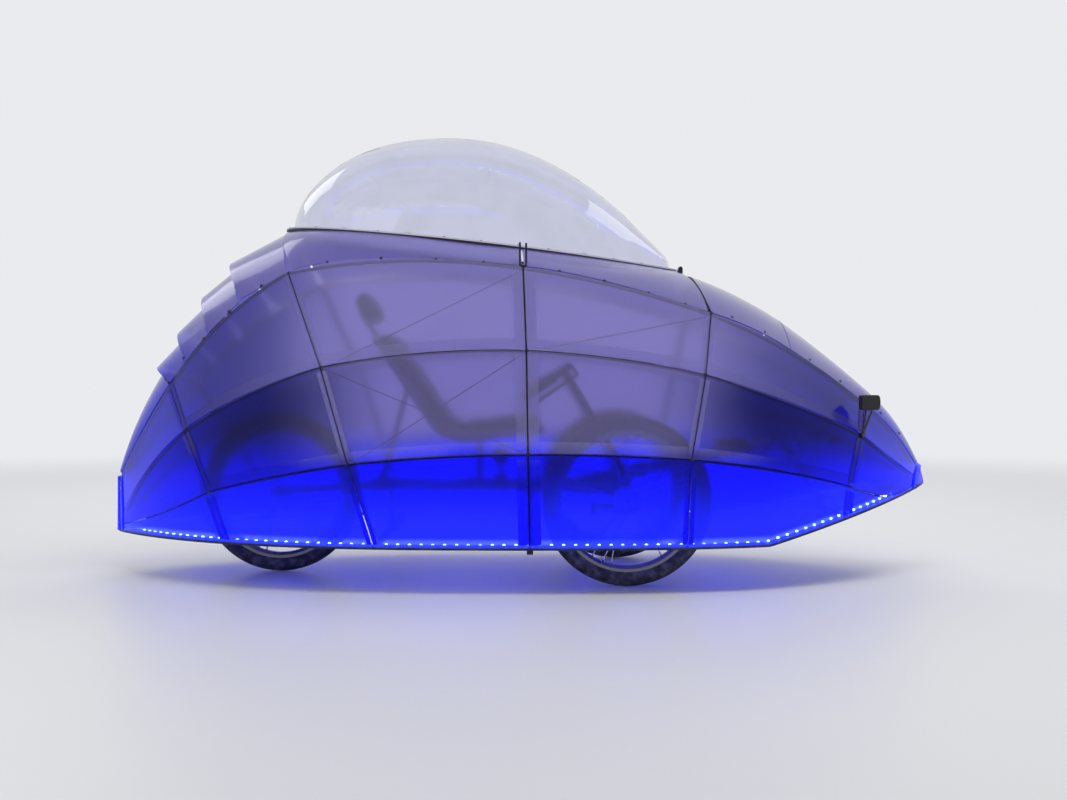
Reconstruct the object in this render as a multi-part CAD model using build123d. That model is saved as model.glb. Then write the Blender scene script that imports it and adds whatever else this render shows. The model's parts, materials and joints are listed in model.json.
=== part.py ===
from build123d import *
import math
import os

os.makedirs("parts", exist_ok=True)

# Velomobile: a tadpole trike inside a translucent boat-shaped shell. Millimetres.
# X forward, Y left, Z up, origin on the floor below the middle of the overall box.

# Fits
GAP = 0.3
TOP_GAP = 0.46
RUN = 0.05
SEAM = 2.0

# Shell lattice
TAIL_X = -1267.0
NOSE_X = 1267.0
BEAM_X = 100.0
BOW_POWER = 2.6
STERN_POWER = 3.0
END_POWER = 0.85
SKIN_T = 3.0
SKIRT = 25.0
HUB_R = 8.0
ROD_R = 4.5

# Bottom rail: flat, then rising to the nose from the kink
RAIL_Z = 130.0
RAIL_T = 8.0
RAIL_W = 30.0
RAIL_IN = SKIN_T + 1.5
KINK_X = 715.0
NOSE_RAIL_Z = 277.0
NOSE_SLOPE = (NOSE_RAIL_Z - RAIL_Z) / (NOSE_X - KINK_X)
TAIL_BLOCK = 42.0
NOSE_BLOCK = 40.5
NOSE_SEAT = 4.5
RAIL_TAIL_X = TAIL_X + TAIL_BLOCK
NOSE_REAR_X = NOSE_X - NOSE_BLOCK
RAIL_NOSE_X = NOSE_REAR_X - NOSE_SEAT
LED_IN = RAIL_IN + 16.0
LED_W = 10.0
LED_T = 3.0
LED_END = 45.0

# Nose cone and tail: the nose outline's rise over the rail, its tongue over the rails, the tail
# plate as (distance from the tail end, half breadth) and the tail cap's lower and upper sections
# as (height over the rail, distance from the tail end, half breadth, apex from the tail end)
NOSE_RISE = {"rail": 0.0, "low": 16.0, "mid": 34.0, "top": 56.0, "deck": 68.0}
NOSE_RAKE = 0.46
NOSE_TIP = (0.12, 0.25)
TONGUE_BACK = 36.5
TONGUE_FRONT = 13.0
TONGUE_IN = 18.0
BLOCK_T = 4.0
TAIL_PLATE = ((72.0, 60.0), (29.0, 36.0), (20.0, 28.0), (3.7, 3.0))
TAIL_CAP = ((0.5, 20.0, 36.0, 0.0), (169.0, 13.0, 20.0, 1.0))

# Lattice lines: greatest half breadth, then x and z at each station
# stations: S tail, Q, A, B, C, D, K, E, P, N nose
RAIL_BEAM = 585.0
LOW_FLARE = 20.0
MID_TUCK = 28.0
TOP_TUCK = 155.0
BEAM = {
    "rail": RAIL_BEAM,
    "low": RAIL_BEAM + LOW_FLARE,
    "mid": RAIL_BEAM - MID_TUCK,
    "top": RAIL_BEAM - TOP_TUCK,
    "deck": 0.0,
}
LINE_X = {
    "rail": (-1245, -1075, -845, -405, 32, 474, 722, 960, 1096, 1222),
    "low": (-1243, -1071, -902, -478, 27, 483, 716, 971, 1096, 1224),
    "mid": (-1243, -1127, -990, -562, 22, 528, 778, 1015, 1130, 1230),
    "top": (-1250, -1177, -1058, -674, 12, 556, 798, 1037, 1149, 1242),
    "deck": (-1260, -1211, -1114, -722, 0, 522, 798, 1099, 1177, 1254),
}
LINE_Z = {
    "rail": (130, 130, 130, 130, 130, 130, 132, 195, 231, 265),
    "low": (152, 204, 277, 367, 397, 381, 349, 290, 254, 282),
    "mid": (178, 331, 455, 640, 688, 619, 537, 440, 362, 300),
    "top": (300, 420, 590, 918, 929, 798, 691, 533, 440, 322),
    "deck": (311, 444, 625, 1058, 1105, 926, 792, 554, 467, 334),
}
ROWS = {
    "lower": ("rail", "low"),
    "middle": ("low", "mid"),
    "upper": ("mid", "top"),
    "deck": ("top", "deck"),
}
RIBS = {"a": 2, "b": 3, "c": 4, "d": 5, "e": 7}
BAYS = ((0, 2), (2, 3), (3, 4), (4, 5), (5, 7), (7, 9))
ROD_ENDS = {"low": (0.30, 0.45), "mid": (0.06, 0.90), "top": (0.05, 0.90)}

# Canopy: side profile as tangent arcs (radius, turn in degrees) back and forward from the crown
CANOPY_TOP = (-221.5, 1355.0)
CANOPY_REAR_ARCS = ((900.0, 12.0), (450.0, 48.0), (230.0, 84.05))
CANOPY_FRONT_ARCS = ((680.0, 25.0), (1000.0, 45.0))
CANOPY_TIP_R = 60.0
CANOPY_T = 4.0
RIM_W = 22.0
RIM_T = 4.0
SILL_IN = 14.0
SILL_T = 6.0
HINGE_R = 7.0
HINGE_PIN_R = 3.0
HINGE_HALF = 20.0
HINGE_LUG = 8.0

# Rear louvres: top line fraction and crown point of each trailing edge, and the seat below it
LOUVRES = ((0.31, -896, 962), (0.57, -984, 858), (0.80, -1062, 748), (1.0, -1129, 640))
LOUVRE_STEP = 22.0
LOUVRE_EDGE = 5.0
LOUVRE_SEAM = -1.5
LOUVRE_FIT = 0.5

# Lap straps over the sheet seams, and the bracing wires behind them
STRAP_T = 1.0
STRAP_OUT = 2 * GAP + STRAP_T
BOW_IN = SKIN_T + GAP + ROD_R
BOW_END = 3 * HUB_R
STRAP_HALF = {"a": 15.0, "b": 15.0, "c": 32.0, "d": 15.0, "e": 15.0}
STRAP_END = 14.0
STRAP_W = 32.0
STRAP_PAST = 0.2
WIRE_R = 1.2
WIRE_IN = ROD_R + WIRE_R + GAP
# row, bay's rear and front stations, rear line, front line and how far inside the others it crosses
WIRES = (
    ("middle", 3, 4, "mid", "low", 0.0),
    ("middle", 3, 4, "low", "mid", 2 * WIRE_R + GAP),
    ("upper", 3, 4, "mid", "top", 0.0),
    ("upper", 4, 5, "mid", "top", 0.0),
)

# Pins beside the canopy at rib c, and clips on its rim by their distance along the base
PIN_R = 3.0
PIN_APART = 18.0
PIN_UP = 66.0
PIN_SEAT = 2.5
CLIPS = (190.0, 385.0, 905.0)
CLIP = (16.0, 12.0, 6.0)

# Trike frame
WHEEL_R = 250.0
TYRE_R = 23.5
RIM_OUT_R = 208.0
RIM_IN_R = 190.0
RIM_HALF = 15.0
RIM_WELL = 9.0
HUB_BODY_R = 18.0
FLANGE_R = 34.0
FLANGE_Y = 28.0
SPOKES = 20
SPOKE_R = 1.6
FRONT_X = 315.0
REAR_X = -752.0
TRACK_HALF = 360.0
AXLE_R = 7.5
AXLE_SEAT_R = 6.0
AXLE_END_R = 5.0
AXLE_END_Y = 105.0
KING_OFFSET = 75.0
KINGPIN_Y = TRACK_HALF - KING_OFFSET
KINGPIN_R = 10.0
HOUSING_R = 17.0
HOUSING_Z = (232.0, 302.0)
PLATE_T = 8.0
SPINE_Z = 271.0
SPINE_R = 19.0
SPINE_REAR_X = -470.0
BEND_X = 150.0
BB_X = 810.0
BB_Z = 410.0
BOOM_R = 17.0
BOOM_SPLIT = 250.0
COLLAR_R = 24.0
COLLAR_L = 40.0
BB_R = 22.0
BB_HALF = 35.0
ARM_R = 16.0
ARM_ROOT_X = 70.0
STAY_Y = 66.0
STAY_R = 9.0
DROPOUT_T = 6.0

# Drive
CHAIN_Y = -45.0
CHAIN_T = 8.0
RING_R = 82.0
COG_R = 46.0
IDLER_X = -60.0
POWER_Z = 335.0
RETURN_Z = 312.0
PULLEY_R = 26.0
CRANK = 165.0
CRANK_Y = 58.0
PEDAL_Y = 118.0
PEDAL = (88.0, 80.0, 22.0)
PEDAL_SLOT = (26.0, 60.0)
RING_WIDTH = 18.0
SPIDER_ARMS = 5
SPIDER_W = 14.0

# Steering
ARM_BACK = 95.0
TIE_R = 6.0
GRIP_Y = 310.0
GRIP_REAR = (16.0, 552.0)
GRIP_FRONT = (155.0, 647.0)
GRIP_R = 16.0
BAR_R = 11.0
LEVER_R = 4.5
LEVER_DROP = 34.0

# Seat
SEAT_PATH = ((70.0, 478.0), (-215.0, 440.0), (-420.0, 745.0))
SEAT_T = 36.0
SEAT_HALF = 185.0
SEAT_BEND = 90.0
SEAT_TUBE_R = 10.0
SEAT_TUBE_Y = 140.0
SEAT_STAY_X = -430.0

# Head lamps: box size and place over the front rib's middle hub
LAMP_BOX = (54.0, 46.0, 44.0)
LAMP_AHEAD = 18.0
LAMP_OUT = 14.0
LAMP_UP = 96.0
LAMP_ROUND = 6.0
LENS_R = 17.0
LENS_DEPTH = 3.0

# Shell mounts
CROSS_R = 10.0
POST_R = 9.0
FOOT_R = 9.0
FOOT_DROP = 14.0
CROSS_X = {"b": -405.0, "c": 32.0, "e": 955.0}


def save(name, *solids):
    """Write one node from its solids."""
    body = solids[0] if len(solids) == 1 else Compound(children=list(solids))
    export_step(body, f"parts/{name}.step")


def both(solids):
    """The solids and their mirror images on the right side."""
    return list(solids) + [mirror(s, about=Plane.XZ) for s in solids]


def rod(a, b, r):
    """Round rod between two points."""
    a, b = Vector(*a), Vector(*b)
    return Solid.make_cylinder(r, (b - a).length, Plane(a, z_dir=b - a))


def arc_rod(a, m, b, r):
    """Round rod along the arc through three points."""
    path = Edge.make_three_point_arc(a, m, b)
    return sweep(Plane(path @ 0, z_dir=path % 0) * Circle(r), path=path).solid()


# Shell lines

def half_breadth(line, x):
    """Half breadth of a lattice line at x."""
    if x >= BEAM_X:
        t = min(1.0, (x - BEAM_X) / (NOSE_X - BEAM_X)) ** BOW_POWER
    else:
        t = min(1.0, (BEAM_X - x) / (BEAM_X - TAIL_X)) ** STERN_POWER
    return BEAM[line] * (1.0 - t) ** END_POWER


def between(values, u):
    """Smooth interpolation of station values."""
    last = len(values) - 1
    i = min(int(max(u, 0.0)), last - 1)
    f = u - i
    p0 = values[i - 1] if i > 0 else 2 * values[0] - values[1]
    p1, p2 = values[i], values[i + 1]
    p3 = values[i + 2] if i + 2 <= last else 2 * values[last] - values[last - 1]
    return p1 + 0.5 * f * (p2 - p0 + f * (2 * p0 - 5 * p1 + 4 * p2 - p3 + f * (3 * (p1 - p2) + p3 - p0)))


def line_point(line, u):
    """Point of a lattice line on the left outer skin."""
    x = between(LINE_X[line], u)
    return Vector(x, half_breadth(line, x), between(LINE_Z[line], u))


def row_normal(row, u):
    """Outward normal of a skin row."""
    lo, hi = ROWS[row]
    step = 0.02
    if row == "deck":
        edge = line_point(lo, u)
        rise = line_point(hi, u) - Vector(edge.X, 0, edge.Z)
        radius = (edge.Y ** 2 + rise.length ** 2) / (2 * rise.length)
        return Vector(0, edge.Y / radius, 0) + rise.normalized() * (1.0 - rise.length / radius)
    up = line_point(hi, u) - line_point(lo, u)
    ahead = line_point(lo, u + step) + line_point(hi, u + step)
    along = ahead - line_point(lo, u - step) - line_point(hi, u - step)
    return up.cross(along).normalized()


def skin(row, stations, low_in, high_in, out=0.0, thick=SKIN_T, width=None):
    """Sheet of one row through the given stations, over its whole height or of a given width."""
    lo, hi = ROWS[row]
    sections = []
    for u in stations:
        p, q = line_point(lo, u), line_point(hi, u)
        e = (q - p).normalized()
        n = row_normal(row, u)
        p, q = p + e * low_in, q - e * high_in
        if width:
            q = p + e * width
        corners = [p + n * out, q + n * out, q + n * (out - thick), p + n * (out - thick)]
        sections.append(Face(Wire.make_polygon(corners, close=True)))
    return loft(sections).solid()


def station_shift(line, u, distance):
    """Station value a given distance further along a line."""
    speed = (line_point(line, u + 0.02) - line_point(line, u - 0.02)).length / 0.04
    return u + distance / speed


def hub_point(line, u, radius=HUB_R):
    """Centre of a lattice hub that bears on the inside of both rows."""
    rows = [r for r, pair in ROWS.items() if line in pair]
    normals = [row_normal(r, u) for r in rows]
    mean = (normals[0] + normals[-1]).normalized()
    bearing = TOP_GAP if line == "top" else GAP
    return line_point(line, u) - mean * ((SKIN_T + bearing + radius) / mean.dot(normals[0]))


# Side skins: three rows of six sheets on each side
def bay_stations(line, bay):
    """Ends and middle of a bay, drawn in by the seam."""
    a, b = bay
    return station_shift(line, a, SEAM), (a + b) / 2, station_shift(line, b, -SEAM)


beyond = NOSE_X + SKIRT
below = Box(2 * beyond, 4 * RAIL_BEAM, 2 * RAIL_Z, align=(Align.CENTER, Align.CENTER, Align.MAX))
below = Pos(0, 0, RAIL_Z) * below
wedge = Polyline((KINK_X, RAIL_Z), (beyond, RAIL_Z + (beyond - KINK_X) * NOSE_SLOPE),
                 (beyond, 0), (KINK_X, 0), close=True)
wedge = extrude(Plane.XZ * make_face(wedge), amount=2 * RAIL_BEAM, both=True)
for row in ("lower", "middle", "upper"):
    sheets = []
    for bay in BAYS:
        low_in = -SKIRT if row == "lower" else SEAM
        sheet = skin(row, bay_stations(ROWS[row][0], bay), low_in, SEAM)
        if row == "lower":
            sheet = (sheet - below - wedge).solid()
        sheets.append(sheet)
    save(f"{row}_skins", *both(sheets))

# Stringers, hubs and ribs
rods = []
for line in ("low", "mid", "top"):
    for a, b in BAYS:
        u0 = station_shift(line, a, HUB_R + 2 * GAP) if a > 0 else b * ROD_ENDS[line][0]
        u1 = station_shift(line, b, -HUB_R - 2 * GAP) if b < 9 else a + (b - a) * ROD_ENDS[line][1]
        middle = hub_point(line, (u0 + u1) / 2, HUB_R + 0.8)
        rods.append(arc_rod(hub_point(line, u0), middle, hub_point(line, u1), ROD_R))
save("stringers", *both(rods))

hubs = []
for u in RIBS.values():
    hubs += [Pos(*hub_point(line, u)) * Sphere(HUB_R) for line in ("low", "mid", "top")]
save("lattice_hubs", *both([h.solid() for h in hubs]))


def hub_rod(a, b, end_a, end_b):
    """Straight rod between two points, shortened at each end."""
    d = (b - a).normalized()
    return rod(a + d * end_a, b - d * end_b, ROD_R)


def rail_point(x, depth):
    """Plan point of the rail line, drawn in by a depth."""
    slope = (half_breadth("rail", x + 1) - half_breadth("rail", x - 1)) / 2
    size = math.hypot(1.0, slope)
    return x + slope / size * depth, half_breadth("rail", x) - depth / size


def rail_top(x):
    """Height of the rail's upper face."""
    return RAIL_Z + max(0.0, x - KINK_X) * NOSE_SLOPE + RAIL_T * (1.03 if x > KINK_X else 1.0)


ribs = []
for u in RIBS.values():
    low, mid, top = (hub_point(line, u) for line in ("low", "mid", "top"))
    fx, fy = rail_point(LINE_X["rail"][u], RAIL_IN + 2 * ROD_R)
    foot = Vector(fx, fy, rail_top(fx) + 2.0)
    ribs.append(hub_rod(foot, low, 0.5, HUB_R + GAP))
    ribs.append(hub_rod(low, mid, HUB_R + GAP, HUB_R + GAP))
    ribs.append(hub_rod(mid, top, HUB_R + GAP, HUB_R + GAP))


def rib_prism(row, u, half):
    """Upright slab along a rib in the side view, over one row."""
    a, b = line_point(ROWS[row][0], u), line_point(ROWS[row][1], u)
    d = (b - a) * STRAP_PAST
    a, b = a - d, b + d
    side = Polyline((a.X - half, a.Z), (a.X + half, a.Z), (b.X + half, b.Z), (b.X - half, b.Z), close=True)
    return extrude(Plane.XZ * make_face(side), amount=2 * RAIL_BEAM, both=True)


straps = []
for row in ("lower", "middle", "upper"):
    for bay in BAYS:
        stations = bay_stations(ROWS[row][0], bay)
        sheet = skin(row, stations, STRAP_END, STRAP_END, STRAP_OUT, STRAP_T)
        band = skin(row, stations, 2 * SEAM, 0.0, STRAP_OUT, STRAP_T, STRAP_W)
        for name in (n for n, u in RIBS.items() if u in bay):
            straps.append((sheet & rib_prism(row, RIBS[name], STRAP_HALF[name])).solid())
            band = band - rib_prism(row, RIBS[name], STRAP_HALF[name] + SEAM)
        if row != "lower" and bay[0] > 0 and bay[1] < 9:
            straps.append(band.solids().sort_by(SortBy.VOLUME)[-1])
save("seam_straps", *both(straps))


def wire_end(offset, d):
    """Distance along a wire from its offset point at a hub to where it just clears the hub."""
    along = offset.dot(d)
    beside = (offset - d * along).length - WIRE_R
    return math.sqrt((HUB_R + 2 * GAP) ** 2 - beside ** 2) - along


wires = []
for row, rear, front, rear_line, front_line, further in WIRES:
    in_a = row_normal(row, rear) * -(WIRE_IN + further)
    in_b = row_normal(row, front) * -(WIRE_IN + further)
    a, b = hub_point(rear_line, rear) + in_a, hub_point(front_line, front) + in_b
    d = (b - a).normalized()
    wires.append(rod(a + d * wire_end(in_a, d), b - d * wire_end(in_b, -d), WIRE_R))
save("brace_wires", *both(wires))

# Bottom rail and light strip


def plan_band(x0, x1, depth0, depth1, plane, slant, pieces):
    """Flat band along the rail plan between two depths, on a plane that starts at the kink."""
    def chain(depth):
        pts = []
        for i in range(2 * pieces + 1):
            x, y = rail_point(x0 + (x1 - x0) * i / (2 * pieces), depth)
            pts.append(((x - KINK_X) / slant, y))
        return pts
    outer, inner = chain(depth0), chain(depth1)
    edges = []
    for pts in (outer, inner[::-1]):
        edges += [ThreePointArc(pts[i], pts[i + 1], pts[i + 2]) for i in range(0, 2 * pieces, 2)]
    edges += [Line(outer[-1], inner[-1]), Line(inner[0], outer[0])]
    return plane * make_face(edges)


FLAT = Plane((KINK_X, 0, RAIL_Z))
SLANT = 1.0 / math.hypot(1.0, NOSE_SLOPE)
RISE_DIR = Vector(SLANT, 0, NOSE_SLOPE * SLANT)
RISE = Plane((KINK_X, 0, RAIL_Z), x_dir=RISE_DIR, z_dir=RISE_DIR.cross(Vector(0, 1, 0)))
rails, rail_cuts = [], []
for x0, x1, plane, slant, pieces in (
    (RAIL_TAIL_X, KINK_X - 1.2, FLAT, 1.0, 7),
    (KINK_X + 0.2, RAIL_NOSE_X, RISE, SLANT, 3),
):
    band = plan_band(x0, x1, RAIL_IN, RAIL_IN + RAIL_W, plane, slant, pieces)
    rails.append(extrude(band, amount=RAIL_T).solid())
    band = plan_band(x0, x1, -RAIL_W, RAIL_IN + RAIL_W + GAP, plane, slant, pieces)
    rail_cuts.append(extrude(band, amount=4 * RAIL_T, both=True))
foot_x, foot_y = rail_point(CROSS_X["c"], RAIL_IN + RAIL_W / 2)
rail_foot = rod((foot_x, foot_y, RAIL_Z + RAIL_T / 2), (foot_x, foot_y, RAIL_Z - FOOT_DROP), FOOT_R)
rails[0] = (rails[0] + rail_foot).solid()
save("bottom_rail", *both(rails))
strips = []
for x0, x1, plane, slant, pieces in (
    (RAIL_TAIL_X + LED_END, KINK_X - 6, FLAT, 1.0, 7),
    (KINK_X + 6, RAIL_NOSE_X - LED_END, RISE, SLANT, 3),
):
    band = plan_band(x0, x1, LED_IN, LED_IN + LED_W, plane.offset(RAIL_T + 0.1), slant, pieces)
    strips.append(extrude(band, amount=LED_T).solid())
save("light_strip", *both(strips))

# Nose and tail blocks and the tail cap
nose_rear, nose_tip = [], []
nose_base = RAIL_Z + (NOSE_REAR_X - KINK_X) * NOSE_SLOPE
for line, rise in NOSE_RISE.items():
    x = NOSE_REAR_X + rise * NOSE_RAKE
    half = half_breadth(line, x)
    nose_rear.append(Vector(x, half, nose_base + rise))
    nose_tip.append(Vector(NOSE_X, half * NOSE_TIP[0], NOSE_RAIL_Z + rise * NOSE_TIP[1]))
nose_faces = []
for pts in (nose_rear, nose_tip):
    ring = pts + [Vector(p.X, -p.Y, p.Z) for p in pts[-2::-1]]
    nose_faces.append(Face(Wire.make_polygon(ring, close=True)))
tongue = []
for x in (NOSE_REAR_X - TONGUE_BACK, NOSE_REAR_X, NOSE_X - TONGUE_FRONT):
    tongue.append(((x - KINK_X) / SLANT, half_breadth("rail", x) - TONGUE_IN))
tongue = Polyline(*tongue, *[(x, -y) for x, y in tongue[::-1]], close=True)
tongue = RISE.offset(RAIL_T + GAP) * make_face(tongue)
save("nose_cone", (loft(nose_faces, ruled=True) + extrude(tongue, amount=BLOCK_T)).solid())
plate = [(TAIL_X + x, y) for x, y in TAIL_PLATE]
plate = Polyline(*plate, *[(x, -y) for x, y in plate[::-1]], close=True)
save("tail_block", extrude(Plane((0, 0, RAIL_Z + RAIL_T + GAP)) * make_face(plate), amount=BLOCK_T).solid())
caps = []
for up, back, half, apex in TAIL_CAP:
    x, end = TAIL_X + back, TAIL_X + apex
    outer = ThreePointArc((x, -half), (end, 0), (x, half))
    inner = ThreePointArc((x, -half + SKIN_T), (end + SKIN_T, 0), (x, half - SKIN_T))
    ends = [Line((x, -half), (x, -half + SKIN_T)), Line((x, half), (x, half - SKIN_T))]
    caps.append(Plane((0, 0, RAIL_Z + up)) * make_face([outer, inner] + ends))
save("tail_cap", loft([c.face() for c in caps]).solid())


# Arched deck sheets between the top lines


def arch(top, crown, thick=SKIN_T, seam=SEAM, lift=0.0):
    """Arched section from the top line over a crown point."""
    mid = Vector(top.X, 0, top.Z)
    up = (crown - mid).normalized()
    plane = Plane(mid, x_dir=(0, 1, 0), z_dir=Vector(0, 1, 0).cross(up))
    rise = (crown - mid).length
    big = (top.Y ** 2 + rise ** 2) / (2 * rise)
    half = math.asin(top.Y / big) - seam / big
    rings = []
    for r in (big + lift, big + lift - thick):
        pts = [(r * math.sin(a), rise - big + r * math.cos(a)) for a in (-half, 0.0, half)]
        rings.append(pts)
    (a0, a1, a2), (b0, b1, b2) = rings
    edges = [ThreePointArc(a0, a1, a2), ThreePointArc(b0, b1, b2), Line(a0, b0), Line(a2, b2)]
    return (plane * make_face(edges)).face()


def deck_square(u):
    """How square the arched section stands to the deck at a station, 1 where it is square."""
    top, crown = line_point("top", u), line_point("deck", u)
    along = (line_point("deck", u + 0.02) - line_point("deck", u - 0.02)).normalized()
    return (crown - Vector(top.X, 0, top.Z)).normalized().cross(along).length


def deck_arch(u):
    """Arched section of the deck at a station."""
    return arch(line_point("top", u), line_point("deck", u), thick=SKIN_T / deck_square(u))


def deck_sheet(a, b):
    """Deck sheet between two stations, drawn in by the seam."""
    stations = (station_shift("top", a, SEAM), (a + b) / 2, station_shift("top", b, -SEAM))
    return loft([deck_arch(u) for u in stations]).solid()


def deck_bow(u):
    """Arched rod below the deck at a station, between the top hubs."""
    top, crown = line_point("top", u), line_point("deck", u)
    mid = Vector(top.X, 0, top.Z)
    up = (crown - mid).normalized()
    rise = (crown - mid).length
    big = (top.Y ** 2 + rise ** 2) / (2 * rise)
    inner = big - BOW_IN / deck_square(u)
    half = math.asin(top.Y / big) - BOW_END / big
    pts = []
    for a in (-half, 0.0, half):
        pts.append(mid + Vector(0, inner * math.sin(a), 0) + up * (rise - big + inner * math.cos(a)))
    return arc_rod(*pts, ROD_R)


front_deck = deck_sheet(5, 6)
save("deck_panels", front_deck, deck_sheet(6, 7), deck_sheet(7, 8.95), deck_sheet(0.05, 2))
bows = [deck_bow(RIBS[name]) for name in ("a", "d", "e")]

louvres = []
side_cut = None
for bay in BAYS[:3]:
    stations = bay_stations("mid", bay)
    cut = skin("upper", stations, SEAM, SEAM - LOUVRE_FIT, LOUVRE_FIT, SKIN_T + 2 * LOUVRE_FIT)
    cut = cut + mirror(cut, about=Plane.XZ)
    side_cut = cut if side_cut is None else side_cut + cut
lead_u = RIBS["b"]
lead_crown = line_point("deck", lead_u)
for share, x, z in LOUVRES:
    tip = Vector(x, 0, z)
    tip_u = RIBS["b"] - share
    first = arch(line_point("top", lead_u - 0.012), lead_crown, seam=LOUVRE_SEAM)
    edge = arch(line_point("top", tip_u + 0.012), tip, seam=LOUVRE_SEAM, lift=LOUVRE_EDGE)
    louvres.append((loft([first, edge]) - side_cut).solids().sort_by(SortBy.VOLUME)[-1])
    slope = Vector(0.7, 0, -0.7) * LOUVRE_STEP
    lead_u, lead_crown = tip_u, tip + slope
save("rear_louvres", *louvres)

# Canopy outline: tangent arcs turned into the sloping base plane


def canopy_points():
    """Arcs of the canopy profile as (centre, radius, first normal, last normal)."""
    arcs = []
    for sign, table in ((-1, CANOPY_REAR_ARCS), (1, CANOPY_FRONT_ARCS)):
        point = Vector(CANOPY_TOP[0], 0, CANOPY_TOP[1])
        angle = 0.0
        side = []
        for radius, turn in table:
            n0 = Vector(sign * math.sin(math.radians(angle)), 0, math.cos(math.radians(angle)))
            n1 = Vector(sign * math.sin(math.radians(turn)), 0, math.cos(math.radians(turn)))
            centre = point - n0 * radius
            side.append((centre, radius, n0, n1))
            point, angle = centre + n1 * radius, turn
        arcs.append(side)
    return arcs


REAR_ARCS, FRONT_ARCS = canopy_points()
FOOT = REAR_ARCS[-1][0] + REAR_ARCS[-1][3] * REAR_ARCS[-1][1]
TILT = math.radians(90.0 - CANOPY_REAR_ARCS[-1][1])
AXIS_DIR = Vector(math.cos(TILT), 0, -math.sin(TILT))
AXIS_UP = Vector(math.sin(TILT), 0, math.cos(TILT))
FRONT_END = FRONT_ARCS[-1][0] + FRONT_ARCS[-1][3] * FRONT_ARCS[-1][1]
SLOPE_N = FRONT_ARCS[-1][3]
SLOPE_D = Vector(SLOPE_N.Z, 0, -SLOPE_N.X)
tip_high = CANOPY_TIP_R * (SLOPE_N.dot(AXIS_UP))
SLOPE_LEN = ((FRONT_END - FOOT).dot(AXIS_UP) - tip_high) / -SLOPE_D.dot(AXIS_UP)
TIP_C = FRONT_END + SLOPE_D * SLOPE_LEN - SLOPE_N * CANOPY_TIP_R
BASE = Plane(FOOT, x_dir=AXIS_DIR, z_dir=AXIS_UP)


def outline(off):
    """Half outline of the canopy base, from the rear foot to the front tip, moved outwards."""
    def flat(p):
        d = p - FOOT
        return d.dot(AXIS_DIR), d.dot(AXIS_UP)

    def piece(arc):
        centre, radius, n0, n1 = arc
        mid = (n0 + n1).normalized()
        return [flat(centre + n * (radius + off)) for n in (n0, mid, n1)]

    edges = [ThreePointArc(*piece(a)[::-1]) for a in REAR_ARCS[::-1]]
    edges += [ThreePointArc(*piece(a)) for a in FRONT_ARCS]
    edges.append(Line(flat(FRONT_END + SLOPE_N * off), flat(FRONT_END + SLOPE_D * SLOPE_LEN + SLOPE_N * off)))
    edges.append(ThreePointArc(*piece((TIP_C, CANOPY_TIP_R, SLOPE_N, AXIS_DIR))))
    return edges


def outline_face(off):
    """Whole base outline as a face on the base plane axes."""
    half = outline(off)
    start, end = half[0] @ 0, half[-1] @ 1
    face = make_face(half + [Line(end, start)])
    return face + mirror(face, about=Plane.XZ)


shell_half = make_face(outline(0.0) + [Line(outline(0.0)[-1] @ 1, outline(0.0)[0] @ 0)])
inner_half = make_face(outline(-CANOPY_T) + [Line(outline(-CANOPY_T)[-1] @ 1, outline(-CANOPY_T)[0] @ 0)])
wall = BASE.offset(GAP) * (shell_half - inner_half)
bubble = revolve(wall, axis=Axis(FOOT + AXIS_UP * GAP, AXIS_DIR), revolution_arc=180)
save("canopy_bubble", bubble.solid())
rim = extrude(BASE.offset(GAP) * (outline_face(RIM_W) - outline_face(GAP)), amount=RIM_T).solid()
sill = extrude(BASE.offset(-SILL_T) * (outline_face(RIM_W) - outline_face(-SILL_IN)), amount=SILL_T).solid()
TIP = TIP_C + AXIS_DIR * CANOPY_TIP_R
HINGE = TIP + AXIS_DIR * (RIM_W + HINGE_R + 4.0) + AXIS_UP * (HINGE_R + 1.0)
leaf_at = Plane(HINGE, x_dir=AXIS_DIR, z_dir=AXIS_UP)
tongue = Box(RIM_W, 2 * HINGE_HALF, RIM_T, align=(Align.MAX, Align.CENTER, Align.MIN))
tongue = leaf_at * Pos(0, 0, GAP - HINGE_R - 1.0) * tongue
barrel = rod(HINGE - Vector(0, HINGE_HALF, 0), HINGE + Vector(0, HINGE_HALF, 0), HINGE_R)
hole = rod(HINGE - Vector(0, 3 * HINGE_HALF, 0), HINGE + Vector(0, 3 * HINGE_HALF, 0), HINGE_PIN_R + RUN)
rim_line = Wire(outline(RIM_W / 2))
clips = []
for reach in CLIPS:
    spot = min((rim_line @ (i / 400) for i in range(401)), key=lambda p: abs(p.X - reach))
    for side in (-1, 1):
        clip = Box(*CLIP, align=(Align.CENTER, Align.CENTER, Align.MIN))
        clips.append(BASE * Pos(spot.X, side * spot.Y, GAP + RIM_T - 1.0) * clip)
for clip in clips:
    rim = rim + clip
save("canopy_rim", (rim + tongue + barrel - hole).solid())
save("canopy_sill", sill)
lug_half = HINGE_HALF + GAP + HINGE_LUG
lugs = rod(HINGE - Vector(0, lug_half, 0), HINGE + Vector(0, lug_half, 0), HINGE_PIN_R)
for side in (-1, 1):
    y0 = side * (HINGE_HALF + GAP)
    lug = Solid.make_cylinder(HINGE_R, HINGE_LUG, Plane(HINGE + Vector(0, y0, 0), z_dir=(0, side, 0)))
    inner = Align.MIN if side > 0 else Align.MAX
    leg = Box(2 * HINGE_R, HINGE_LUG, 30, align=(Align.CENTER, inner, Align.MAX))
    lugs = lugs + lug + Pos(HINGE.X, y0, HINGE.Z) * leg
save("canopy_hinge", (lugs - front_deck).solids().sort_by(SortBy.VOLUME)[-1])

# Canopy surround: sheets from the top line up to the sill


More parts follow.
